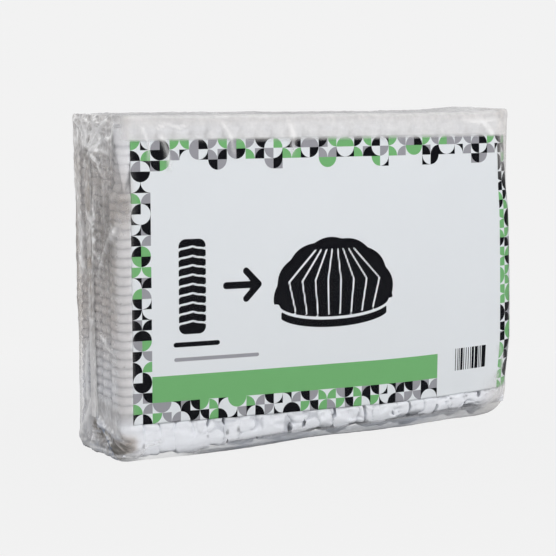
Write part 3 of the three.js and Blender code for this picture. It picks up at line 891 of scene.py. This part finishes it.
def film_loop(x, pull):
    """The bag's section at x: four arcs and four straight sides, from the back's top edge over the front
    and under the base to the back again. The ends' rounding pulls a section in, least at its top."""
    front = front_base_radius(x)
    zero = np.zeros_like(x)
    corners = (
        (HALF_DEPTH - TOP_RADIUS + zero, HEIGHT - TOP_RADIUS + zero, TOP_RADIUS + zero),
        (TOP_RADIUS - HALF_DEPTH + zero, HEIGHT - TOP_RADIUS + zero, TOP_RADIUS + zero),
        (front - HALF_DEPTH, front, front),
        (HALF_DEPTH - BACK_BASE_RADIUS + zero, BACK_BASE_RADIUS + zero, BACK_BASE_RADIUS + zero),
    )
    arcs = []
    for quarter, (y, z, radius) in enumerate(corners):
        angle = (quarter + np.linspace(0, 1, CORNER_STEPS[quarter])[None, :]) * math.pi / 2
        arcs.append((y + radius * np.cos(angle), z + radius * np.sin(angle)))
    runs = []
    for index, (y, z) in enumerate(arcs):
        share = np.linspace(0, 1, SIDE_STEPS[index] + 1)[None, 1:-1]
        ends = zip((y, z), arcs[(index + 1) % 4])
        runs.append((y, z))
        runs.append([here[:, -1:] + share * (after[:, :1] - here[:, -1:]) for here, after in ends])
    y, z = (np.concatenate([run[axis] for run in runs], 1) for axis in (0, 1))
    ear = np.maximum(0, z / HEIGHT - EAR_START) / (1 - EAR_START)
    y = y * (1 - pull * (1 + (EAR_SHARE - 1) * ear) / HALF_DEPTH)
    base = pull * BASE_PULL_SHARE
    return y, base + z * (HEIGHT - base) / HEIGHT


def end_stations(side, radius, steps):
    """Stations of one end, from its turn out of the long faces: x, how far the section is pulled in, how far
    it has closed onto the seal line, and how far along the folded strip it lies."""
    turn = np.linspace(0, math.pi / 2, TURN_STEPS)
    more = steps + STRIP_STEPS
    x = side * np.concatenate([HALF_WIDTH - radius + radius * np.sin(turn), np.full(more, HALF_WIDTH)])
    pull = np.concatenate([radius * (1 - np.cos(turn)), np.full(more, radius)])
    closed = np.concatenate([np.zeros(TURN_STEPS), np.linspace(0, 1, steps + 1)[1:], np.ones(STRIP_STEPS)])
    folded = np.concatenate([np.zeros(TURN_STEPS + steps), np.linspace(0, 1, STRIP_STEPS + 1)[1:]])
    return np.stack([x, pull, closed, folded])


def film_grid():
    """The whole film as a tube from seal to seal. Each station is a section; at an end the sections close
    from the rim onto an upright seal line, and then run on as the flat doubled strip that is folded over."""
    left = end_stations(-1, LEFT_END_RADIUS, LEFT_STEPS)[:, ::-1]
    right = end_stations(1, RIGHT_END_RADIUS, RIGHT_STEPS)
    first, last = left[0, -1], right[0, 0]
    share = np.linspace(0, 1, MIDDLE_STEPS)[1:-1]
    middle = np.stack([first + share * (last - first), 0 * share, 0 * share, 0 * share])
    x, pull, closed, folded = (row[:, None] for row in np.concatenate([left, middle, right], 1))
    y, z = film_loop(x, pull)
    up = np.clip(z / HEIGHT, 0, 1)
    seal_z = SEAL_LOW + (SEAL_HIGH - SEAL_LOW) * up
    seal_y = SEAL_FOOT_Y + (SEAL_HEAD_Y - SEAL_FOOT_Y) * up
    front_half = np.where(y < 0, -1.0, 1.0)
    y_end = y * (1 - closed) + seal_y * closed + folded * SEAL_REACH
    z_end = z * (1 - closed) + seal_z * closed
    side = np.sign(x)
    dish = END_DISH * smooth(closed * 1.6) * (closed > 0)
    layer = 0.12 * front_half * smooth(closed * 4 - 3)
    raised = np.where(folded > 0, 0.5 + layer, 0.25 * smooth(closed * 6 - 5))
    return np.broadcast_arrays(x + side * (raised - dish), y_end, z_end, closed, folded)


def outward(x, y, z):
    """Outward unit normals of a tube's grid: the cross product of its steps round it and along it."""
    round_step = [np.roll(part, -1, 1) - np.roll(part, 1, 1) for part in (x, y, z)]
    along_step = [np.gradient(part, axis=0) for part in (x, y, z)]
    normal = np.cross(np.stack(round_step, -1), np.stack(along_step, -1))
    return normal / np.maximum(np.linalg.norm(normal, axis=-1, keepdims=True), 1e-9)


# Folds on the left end: points (y, z), half width and height of each.
LEFT_FOLDS = (
    (((9.5, 164), (-6, 176), (-20, 184)), 1.3, 1.6),
    (((9.5, 164), (-10, 170), (-27, 173)), 1.0, 1.2),
    (((9.5, 164), (-8, 165), (-24, 163)), 1.0, 1.1),
    (((9.5, 164), (-4, 158), (-14, 150)), 1.1, 1.2),
    (((9.5, 164), (2, 175), (-3, 185)), 1.2, 1.4),
    (((9.5, 164), (13, 174), (15, 185)), 1.0, 1.4),
    (((9.5, 164), (20, 178), (29, 184)), 1.2, 1.0),
    (((15, 135), (6, 124), (3, 114), (4, 93)), 1.6, 1.5),
    (((-28, 126), (-22, 118), (-14.6, 111), (-6, 101), (3, 92)), 1.5, 1.8),
    (((-2, 66), (-14, 60), (-26, 58)), 1.3, 0.9),
    (((3, 20), (-12, 12), (-27, 4)), 1.6, 1.5),
    (((3, 18), (-20, 15), (-30, 12)), 1.3, 1.2),
    (((10, 30), (20, 12), (27, 4)), 1.5, 1.2),
    (((23, 156), (20, 124), (17, 92)), 2.6, 0.8),
    (((14, 60), (17, 44), (15, 24)), 1.4, 0.8),
)
# Folds seen on the front, as (x, z).
FRONT_FOLDS = (
    (((-104, 177), (-98, 181), (-90, 178), (-84, 181)), 0.8, 0.6),
    (((-112, 180), (-108, 168), (-109, 158)), 0.7, 0.5),
    (((-101, 174), (-97, 164), (-96, 153)), 1.3, 0.5),
    (((-66, 183), (-60, 172), (-58, 160)), 1.0, 0.5),
    (((-26, 184), (-22, 172), (-23, 160)), 1.4, 0.5),
    (((98, 184), (104, 178), (112, 168)), 1.6, 0.6),
    (((86, 182), (100, 179), (118, 181)), 1.2, 0.4),
    (((112, 24), (117, 34), (113, 48)), 1.2, 0.9),
    (((104, 8), (114, 14), (119, 24)), 1.4, 1.1),
    (((-118, 3), (-110, 9), (-100, 11)), 1.2, 0.9),
)


# What each feature of the film adds to its haze, to the warm tone of doubled film and to its painted shade in
# the dusk colour. Some features paint highlights through the haze.
FILM_LOOK = {
    # The lid's haze and warm tone, with a little painted shade.
    "lid": (0.22, 0.22, 0.10),
    "heads": (1, 0, 0),
    "left_film": (1, 0, 0),
    "left_tone": (0, 1, 0),
    "right_film": (0.16, 0, 0),
    "back_film": (1, 0, 0),
    # Haze of doubled film along the front folds, raised so that it also paints highlights on them.
    "front_folds": (0.40, 0, 0),
    "end_folds": (0.50, -0.6, 0),
    # Thin light lines along the crinkles of the left end: haze of creased film, lightened as painted
    # highlights.
    "creases": (0.35, 0, 0),
    "threads": (0, -0.6, 0),
    "star": (0.20, 0, 0),
    "lap": (0.10, 0, 0),
    "strip": (0.42, -0.45, 0),
    "seal_line": (0.7, -0.5, 0),
    "rear_rim": (0.35, 0, 0),
    "crown": (0.25, -0.45, 0),
    # Painted glints: bright specks of haze on the left end.
    "painted_glints": (0.9, -0.9, 0),
    # Haze over the corner column, with painted shade in the warm tone of doubled film.
    "corner_veil_and_shade": (0.27, 0.42, 0),
    "right_top": (0.35, 0.3, 0),
    "right_base": (0.22, 0.3, 0),
    # Haze at the left end's base, and painted shade in streaks there.
    "left_base": (0.4, 0, 0),
    "left_base_streaks": (0, 0, 0.6),
    "over_feet": (0.32, 0, 0),
    # Painted shade along the low fold on the left end.
    "low_fold": (0.7, 0.8, 1.2),
    # Painted shade in streaks at the lower front corner of the left end.
    "front_corner": (0.6, 1.6, 0.85),
    "shaded_end": (0.20, 0, 0.55),
    "shaded_edge": (0.22, 0.5, 0.4),
    # Painted shade seen through the film in the gap under the front feet.
    "shade_below_feet": (0.85, 0, 0.60),
    # Painted shadow: a thin dark line under the front feet.
    "shadow_under_feet": (0.6, 0.3, 0.9),
}


def fold_relief(a, b, folds):
    """Height of the folds at each place, a rounded ridge along each path that fades at its ends, and how
    much film lies double there."""
    relief, doubled = 0.0, 0.0
    for path, half, height in folds:
        far, along = path_distance(a, b, path)
        ridge = bell(far, 0, half) * smooth(along * 8 + 0.15) * smooth((1 - along) * 5)
        relief = relief + height * ridge
        doubled = np.maximum(doubled, ridge)
    return relief, doubled


# Height in millimetres of the fine creases on each region of the film.
CREASE_HEIGHTS = {
    "front": 0.18,
    "left_creased": 0.75,
    "right_face": 0.4,
    "lid": 0.22,
    "base": 0.3,
    "back": 0.35,
}


def film_zones(x, y, z, folded):
    """Shares from 0 to 1 of the regions of the film, on the bag before its creases."""
    on = SimpleNamespace()
    on.left = smooth((-x - (HALF_WIDTH - LEFT_END_RADIUS)) / (LEFT_END_RADIUS * 0.9))
    on.right = smooth((x - (HALF_WIDTH - RIGHT_END_RADIUS)) / (RIGHT_END_RADIUS * 0.9))
    on.end = np.maximum(on.left, on.right)
    on.lid = ramp(z, HEIGHT - 7, HEIGHT - 2) * (1 - on.end)
    on.base = ramp(z, 14, 6) * (1 - on.end)
    on.front = (y < 0) * (1 - on.end) * (1 - on.lid) * (1 - on.base)
    on.back = (y > 0) * (1 - on.end)
    on.left_face = on.left * ramp(y, -28, -24)
    on.right_face = on.right * ramp(y, -14, -6)
    on.restless = 1 - 0.6 * ramp(z, 84, 44) * ramp(z, 12, 20)
    on.left_creased = on.left_face * on.restless
    on.bag = folded == 0
    on.folded_ends = np.maximum(on.left, on.right_face * on.right) * on.bag
    return on


def film_relief(x, y, z, on, crinkle):
    """Height over the smooth bag of the creases, which are noise folded at its middle, of the named folds,
    of the star round the upper seal point and of the back's lap, with the shares that each one covers."""
    broad = ridges(x / 26, y / 17, z / 30, 31) ** 3
    fine = ridges(x / 8, y / 6, z / 11, 32) ** 4
    sharp = ridges(x / 15, y / 4.5, z / 5, 33) ** 6
    height = sum(most * getattr(on, region) for region, most in CREASE_HEIGHTS.items())
    relief = crinkle * height * (broad + 0.55 * fine + 0.45 * sharp * np.maximum(on.end, on.lid))
    end_relief, end_double = fold_relief(y, z, LEFT_FOLDS)
    front_relief, front_double = fold_relief(x, z, FRONT_FOLDS)
    on_front = (y < -HALF_DEPTH * 0.6) * (1 - on.left)
    star = np.arctan2(z - SEAL_HIGH, y - SEAL_HEAD_Y)
    near_star = np.exp(-np.hypot(z - SEAL_HIGH, y - SEAL_HEAD_Y) / 16) * on.folded_ends
    lap = ramp(x, -0.2, 0.3) * ramp(x, 11, 9.5) * (y > HALF_DEPTH - 3)
    lap = lap * ramp(z, 10, 20) * ramp(z, HEIGHT - 10, HEIGHT - 20)
    relief = relief + end_relief * on.folded_ends + front_relief * on_front
    relief = relief + 0.9 * near_star * (np.abs(np.sin(star * 9)) ** 3 - 0.3) + 0.45 * lap
    covered = {"end_folds": end_double * on.folded_ends, "front_folds": front_double * on_front,
               "star": near_star, "lap": lap, "sharp": sharp}
    return relief, covered


def film_features(x, y, z, on, closed, covered):
    """How strongly each feature named in FILM_LOOK shows at each place of the creased film."""
    blotch = noise(x / 12, y / 9, z / 14, 35)
    streaks = ridges(y / 11 + z / 2.6, z / 1.5, 0.3, 36) ** 1.6
    # Thin crinkle lines on the left end, lightened as painted highlights.
    threads = ridges(y / 5 + z / 9, z / 3.4, y / 7, 37) ** 7 * on.left_face
    # Painted glints: specks of haze near the glint path and near the top of the left end.
    sparks = ridges(y / 1.9, z / 2.1, x / 3, 39) ** 5 * on.left_face * on.bag
    near_glints = bell(path_distance(y, z, GLINTS)[0], 0, 2.6)
    near_top = ramp(z, 166, 174) * ramp(np.abs(y - 4), 18, 12)
    above_sheet = ramp(z, 169.8, 171) * (1 - on.end * (x < 0))
    on_lid = ramp(z, 182.5, 184.5) * (np.abs(y) < HALF_DEPTH - 4)
    front_edge = (y < -22) * (1 - on.left_face)
    veil = ramp(-x, 117, 120) * (y < -20) * (1 - on.left_face)
    # Painted shade along the low fold, stronger in streaks.
    low_fold = on.left * bell(path_distance(y, z, LOW_FOLD)[0], 0, 5.0) * (0.12 + 0.95 * streaks) * on.bag
    left_base = ramp(-x, 108, 118) * ramp(z, 9, 4)
    # Painted shade in the gap under the front feet, up to a height that grows along x.
    gap = np.interp(x, GAP_PLACES, GAP_HEIGHTS)
    shade_below_feet = on.base * ramp(-y, 12, 15) * ramp(z, gap + 3, gap) * ramp(x, -92, -66)
    shade_below_feet = shade_below_feet * (0.6 + 0.4 * ridges(x / 21, y / 7, 0.2, 38))
    shaded_end = on.left_face * bell(z, 118, 28) * ramp(y, 7, -5) * (0.4 + 0.9 * blotch)
    # Painted shadow along a line under the front feet.
    shadow_under_feet, along = path_distance(x, z, FEET_SHADOW_LINE)
    return {
        "lid": on.lid,
        "heads": above_sheet * (0.60 + 0.06 * ramp(x, -90, -30)) * (1 - 0.6 * on_lid),
        "left_film": on.left_face * (0.13 + 0.22 * (blotch - 0.5)),
        "left_tone": on.left_face * (0.95 - 0.72 * ramp(z, 84, 34)),
        "right_film": on.right_face,
        "back_film": on.back * (0.04 + 0.34 * ridges(x / 19, z / 23, 0.7, 40) ** 9),
        "front_folds": covered["front_folds"],
        "end_folds": covered["end_folds"],
        "creases": (covered["sharp"] * on.left_face + threads) * on.restless,
        "threads": threads,
        "star": covered["star"],
        "lap": covered["lap"],
        "strip": ~on.bag * on.end,
        "seal_line": smooth(closed * 18 - 17) * on.end * on.bag,
        "rear_rim": on.left * ramp(y, 20, 28),
        "crown": on.left_face * ramp(z, 154, 170),
        "painted_glints": sparks * (near_glints + 0.8 * near_top),
        "corner_veil_and_shade": veil * ramp(z, 18, 26) * (1 - 0.5 * ramp(z, 136, 146)),
        "right_top": ramp(x, 112, 117) * ramp(z, 140, 160) * (y < 0),
        "right_base": ramp(x, 100, 114) * ramp(z, 34, 14),
        "left_base": left_base,
        "left_base_streaks": left_base * streaks,
        "over_feet": on.left_face * ramp(z, 36, 28) * ramp(z, 13, 17) * ramp(y, 20, 10),
        "low_fold": low_fold,
        # Painted shade in streaks at the lower front corner of the left end.
        "front_corner": ramp(-x, 113, 120) * (y < -22) * bell(z, 8.5, 5.5) * (0.12 + 0.95 * streaks**1.5),
        "shaded_end": shaded_end * (1 - covered["end_folds"]),
        "shaded_edge": ramp(-x, 114, 120) * front_edge * bell(z, 140, 13),
        "shade_below_feet": shade_below_feet * (1 - 0.35 * ramp(x, 50, 90)),
        "shadow_under_feet": bell(shadow_under_feet, 0, 0.9) * smooth(along * 12) * smooth((1 - along) * 3) * (y < -10),
    }


def film_piece(name, material, crinkle):
    """The film bag, displaced along its normals by its creases and folds, with its haze, warm tone and
    painted shade as numbers on its points."""
    x, y, z, closed, folded = film_grid()
    normal = outward(x, y, z)
    on = film_zones(x, y, z, folded)
    relief, covered = film_relief(x, y, z, on, crinkle)
    relief = relief * on.bag * (1 - smooth(closed * 8 - 7))
    tip = CORNER_TIP * ramp(x, 92, 126) * ramp(z, 165, 185)
    x, y = x + normal[..., 0] * relief, y + normal[..., 1] * relief
    z = np.maximum(z + normal[..., 2] * relief + tip, 0.0)
    quads = grid_quads(*x.shape, True)
    made = piece(name, in_place(x, y, z), quads, (), material, ["film_bag"])
    features = film_features(x, y, z, on, closed, covered)
    for index, attribute in enumerate(("haze", "smoke", "dusk")):
        amount = sum(look[index] * features[feature] for feature, look in FILM_LOOK.items())
        add_attribute(made, attribute, np.clip(amount, 0, 1))
    return made


# Settings, as a user of the sidebar sees them.


def number_setting(name, description, default, high):
    return bpy.props.FloatProperty(name=name, description=description, default=default, min=0, max=high)


def power_setting(name, description, default):
    return bpy.props.FloatProperty(name=name, description=description, default=default, min=0, unit="POWER")


def colour_setting(name, description, default):
    return bpy.props.FloatVectorProperty(
        name=name, description=description, default=default, size=4, min=0, max=1, subtype="COLOR")


class CapBagStageSettings(bpy.types.PropertyGroup):
    """Camera, floor and light."""

    lens: bpy.props.FloatProperty(
        name="Lens", description="Focal length of the camera", default=129.2, min=20, max=400, unit="CAMERA")
    surround: number_setting("Surround level", "Brightness of the pale surroundings", 0.888, 1)
    key: power_setting("Key light", "Power of the large soft front light", 18.6)
    fill: power_setting("Fill light", "Power of the soft light from above", 3.9)
    side: power_setting("Side light", "Power of the weak light at the left", 3.2)
    back: power_setting("Back light", "Power of the soft light behind the bag", 7.0)
    rear: power_setting("Rear strip", "Power of the narrow light that glints on the left end", 2.5)


class CapBagClothSettings(bpy.types.PropertyGroup):
    """Cloth of the folded caps."""

    colour: colour_setting("Cloth colour", "Colour of the nonwoven cloth", (0.90, 0.918, 0.968, 1))
    around: bpy.props.IntProperty(
        name="Points around", description="Grid points round the end caps", default=56, min=12, max=120)


class CapBagPrintSettings(bpy.types.PropertyGroup):
    """Colours of the printed sheet."""

    paper: colour_setting("Paper", "Colour of the unprinted paper", (0.78, 0.81, 0.84, 1))
    black: colour_setting("Dark ink", "Colour of the dark shapes", (0.003, 0.003, 0.005, 1))
    green: colour_setting("Green ink", "Colour of the band and the green shapes", (0.18, 0.46, 0.18, 1))
    grey: colour_setting("Grey ink", "Colour of the grey shapes", (0.33, 0.33, 0.36, 1))


class CapBagFilmSettings(bpy.types.PropertyGroup):
    """The clear film."""

    crinkle: number_setting("Crinkle", "Height of the film's creases, one for the usual height", 1.0, 3)
    clear: colour_setting("Haze", "Colour of the film's haze", (0.94, 0.94, 0.945, 1))
    smoke: colour_setting("Doubled haze", "Colour of the haze on doubled film", (0.56, 0.51, 0.465, 1))
    dusk: colour_setting("Shaded folds", "Colour of folds that turn away from light", (0.12, 0.175, 0.29, 1))


# Operators.


class CAPBAG_OT_stage(bpy.types.Operator):
    """Sets the camera at the photograph's angle, a pale floor and soft studio light"""

    bl_idname = "capbag.stage"
    bl_label = "Stage"

    def execute(self, context):
        settings = context.scene.capbag_stage
        self.camera(context, settings.lens)
        self.floor(settings.surround)
        self.lights(context, settings)
        return {"FINISHED"}

    def camera(self, context, lens):
        """The camera looks in from the left of the front and a little down, at the middle of the sheet."""
        yaw, pitch = math.radians(CAMERA_YAW), math.radians(CAMERA_PITCH)
        ahead = Vector((math.sin(yaw), math.cos(yaw), 0))
        right = Vector((math.cos(yaw), -math.sin(yaw), 0))
        forward = ahead * math.cos(pitch) - Vector((0, 0, 1)) * math.sin(pitch)
        upward = Vector((0, 0, 1)) * math.cos(pitch) + ahead * math.sin(pitch)
        away = CAMERA_AWAY - CAMERA_OVER * math.sin(pitch)
        aim = Vector((SHEET_SHIFT + PACK_SHIFT, SHEET_DEPTH - HALF_DEPTH - AIM_INSET, AIM_HEIGHT)) * MM
        eye = aim - away * forward - CAMERA_OVER * math.cos(pitch) * upward - CAMERA_ACROSS * right
        data = bpy.data.cameras.new("front_left_camera")
        data.lens, data.sensor_width = lens, 36.0
        camera = bpy.data.objects.new("front_left_camera", data)
        turn = Matrix((right, upward, -forward)).transposed().to_4x4()
        camera.matrix_world = Matrix.Translation(eye) @ turn
        context.scene.collection.objects.link(camera)
        context.scene.camera = camera

    def floor(self, surround):
        """A wide flat floor at the bag's base."""
        reach = np.linspace(-1, 1, FLOOR_STEPS) * FLOOR_REACH
        x, y = np.meshgrid(reach, reach)
        points = np.stack([x, y, np.full_like(x, -FLOOR_DROP)], -1)
        mesh = bpy.data.meshes.new("floor")
        mesh.from_pydata(points.reshape(-1, 3).tolist(), [], grid_quads(FLOOR_STEPS, FLOOR_STEPS).tolist())
        mesh.materials.append(floor_material(surround))
        floor = bpy.data.objects.new("floor", mesh)
        bpy.context.scene.collection.objects.link(floor)

    def surroundings(self, scene, level):
        """A world that the camera sees as an even pale one. It lights the bag little from the front and
        strongly from behind."""
        nodes = Nodes(bpy.data.worlds.new("pale_surround"), "OutputWorld")
        seen = nodes.add("Background", {0: (level, level, level, 1)}).outputs[0]
        place = nodes.add("SeparateXYZ", {0: nodes.add("TexCoord").outputs["Generated"]}).outputs[1]
        sky = nodes.add("ValToRGB", {0: nodes.math("MULTIPLY_ADD", place, 0.5, 0.5)})
        front, back = sky.color_ramp.elements
        front.color, front.position, back.color = SKY_FRONT, 0.5, SKY_BACK
        lit = nodes.add("Background", {0: sky.outputs[0]}).outputs[0]
        path = nodes.add("LightPath").outputs["Is Camera Ray"]
        scene.world = nodes.finish(nodes.add("MixShader", {0: path, 1: lit, 2: seen}).outputs[0])

    def lights(self, context, settings):
        """A large soft light in front, others above, at the left and behind, and an even pale surround."""
        scene = context.scene
        scene.view_settings.view_transform = "Standard"
        self.surroundings(scene, settings.surround)
        for name, place, size, power, in_gloss in LIGHTS:
            data = bpy.data.lights.new(name, "AREA")
            data.shape, data.size, data.size_y = "RECTANGLE", *size
            data.energy, data.color = getattr(settings, power), LIGHT_COLOUR
            light = bpy.data.objects.new(name, data)
            turn = (Vector(LIGHT_AIM) - Vector(place)).to_track_quat("-Z", "Y").to_matrix().to_4x4()
            light.matrix_world = Matrix.Translation(place) @ turn
            light.visible_glossy = in_gloss
            scene.collection.objects.link(light)


class CAPBAG_OT_caps(bpy.types.Operator):
    """Builds the folded caps as soft cloth, each in its own place"""

    bl_idname = "capbag.caps"
    bl_label = "Folded caps"

    def execute(self, context):
        settings = context.scene.capbag_cloth
        cloth = cloth_material(settings.colour)
        for row in range(ROWS):
            outer = row in (0, ROWS - 1)
            columns = range(COLUMNS) if outer else (0, COLUMNS - 1)
            for column in columns:
                mode = "covered" if row == 0 and column < COLUMNS - 1 else "ribbed"
                mode = "shown" if column == 0 else mode
                around = POINTS_ROUND.get(mode, settings.around)
                node = f"cap_row{row + 1}_{column + 1}"
                cap_piece(f"folded_{node}", [(column, row)], mode, around, cloth, [node])
            if not outer:
                node = f"inner_caps_row{row + 1}"
                places = [(column, row) for column in range(1, COLUMNS - 1)]
                cap_piece(f"folded_{node}", places, "plain", POINTS_ROUND["plain"], cloth, [node])
        return {"FINISHED"}


class CAPBAG_OT_sheet(bpy.types.Operator):
    """Builds the printed sheet that lies between the caps and the film"""

    bl_idname = "capbag.sheet"
    bl_label = "Printed sheet"

    def execute(self, context):
        settings = context.scene.capbag_print
        distance, height, x, y, z = sheet_grid(SHEET_COLUMNS, SHEET_ROWS)
        colours = (settings.paper, settings.black, settings.green, settings.grey)
        paper = print_material(*(tuple(colour) for colour in colours))
        points, quads = in_place(x, y, z), grid_quads(SHEET_ROWS, SHEET_COLUMNS)
        made = piece("printed_sheet_paper", points, quads, (), paper, ["printed_sheet"])
        cells = np.stack([distance, height], -1).reshape(-1, 2) / PRINT_CELL
        layer = made.data.uv_layers.new(name="cells")
        layer.data.foreach_set("uv", cells[quads.ravel()].astype(np.float32).ravel())
        ink = np.maximum(sign_depth(distance, height), ink_depth(distance, height, *DARK_BAR))
        add_attribute(made, "ink", ink)
        add_attribute(made, "faint_ink", ink_depth(distance, height, *GREY_BAR))
        wall = made.modifiers.new("paper_thickness", "SOLIDIFY")
        wall.thickness, wall.offset = PAPER_WALL * MM, -1.0
        return {"FINISHED"}


class CAPBAG_OT_film(bpy.types.Operator):
    """Builds the clear film bag with its folded ends, seals and creases"""

    bl_idname = "capbag.film"
    bl_label = "Film bag"

    def execute(self, context):
        settings = context.scene.capbag_film
        film = film_material(tuple(settings.clear), tuple(settings.smoke), tuple(settings.dusk))
        made = film_piece("creased_film_bag", film, settings.crinkle)
        return {"FINISHED"}


class CAPBAG_PT_panel(bpy.types.Panel):
    """Buttons for each group of pieces, with their sizes and colours"""

    bl_idname = "CAPBAG_PT_panel"
    bl_label = "Bag of folded caps"
    bl_space_type = "VIEW_3D"
    bl_region_type = "UI"
    bl_category = "Cap bag"

    def draw(self, context):
        for name, (_, operator) in GROUPS.items():
            self.layout.operator(operator.bl_idname)
            settings = getattr(context.scene, name)
            for key in settings.__annotations__:
                self.layout.prop(settings, key)


# Each group of settings, kept on the scene under its name, with the operator that reads it.
GROUPS = {
    "capbag_stage": (CapBagStageSettings, CAPBAG_OT_stage),
    "capbag_cloth": (CapBagClothSettings, CAPBAG_OT_caps),
    "capbag_print": (CapBagPrintSettings, CAPBAG_OT_sheet),
    "capbag_film": (CapBagFilmSettings, CAPBAG_OT_film),
}
CLASSES = (*(made for pair in GROUPS.values() for made in pair), CAPBAG_PT_panel)


def register():
    for made in CLASSES:
        bpy.utils.register_class(made)
    for name, (group, _) in GROUPS.items():
        setattr(bpy.types.Scene, name, bpy.props.PointerProperty(type=group))


def unregister():
    for name in GROUPS:
        delattr(bpy.types.Scene, name)
    for made in reversed(CLASSES):
        bpy.utils.unregister_class(made)


def main():
    """Registers the add-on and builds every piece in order."""
    register()
    bpy.ops.capbag.stage()
    bpy.ops.capbag.caps()
    bpy.ops.capbag.sheet()
    bpy.ops.capbag.film()
    bpy.context.view_layer.update()


if __name__ == "__main__":
    main()
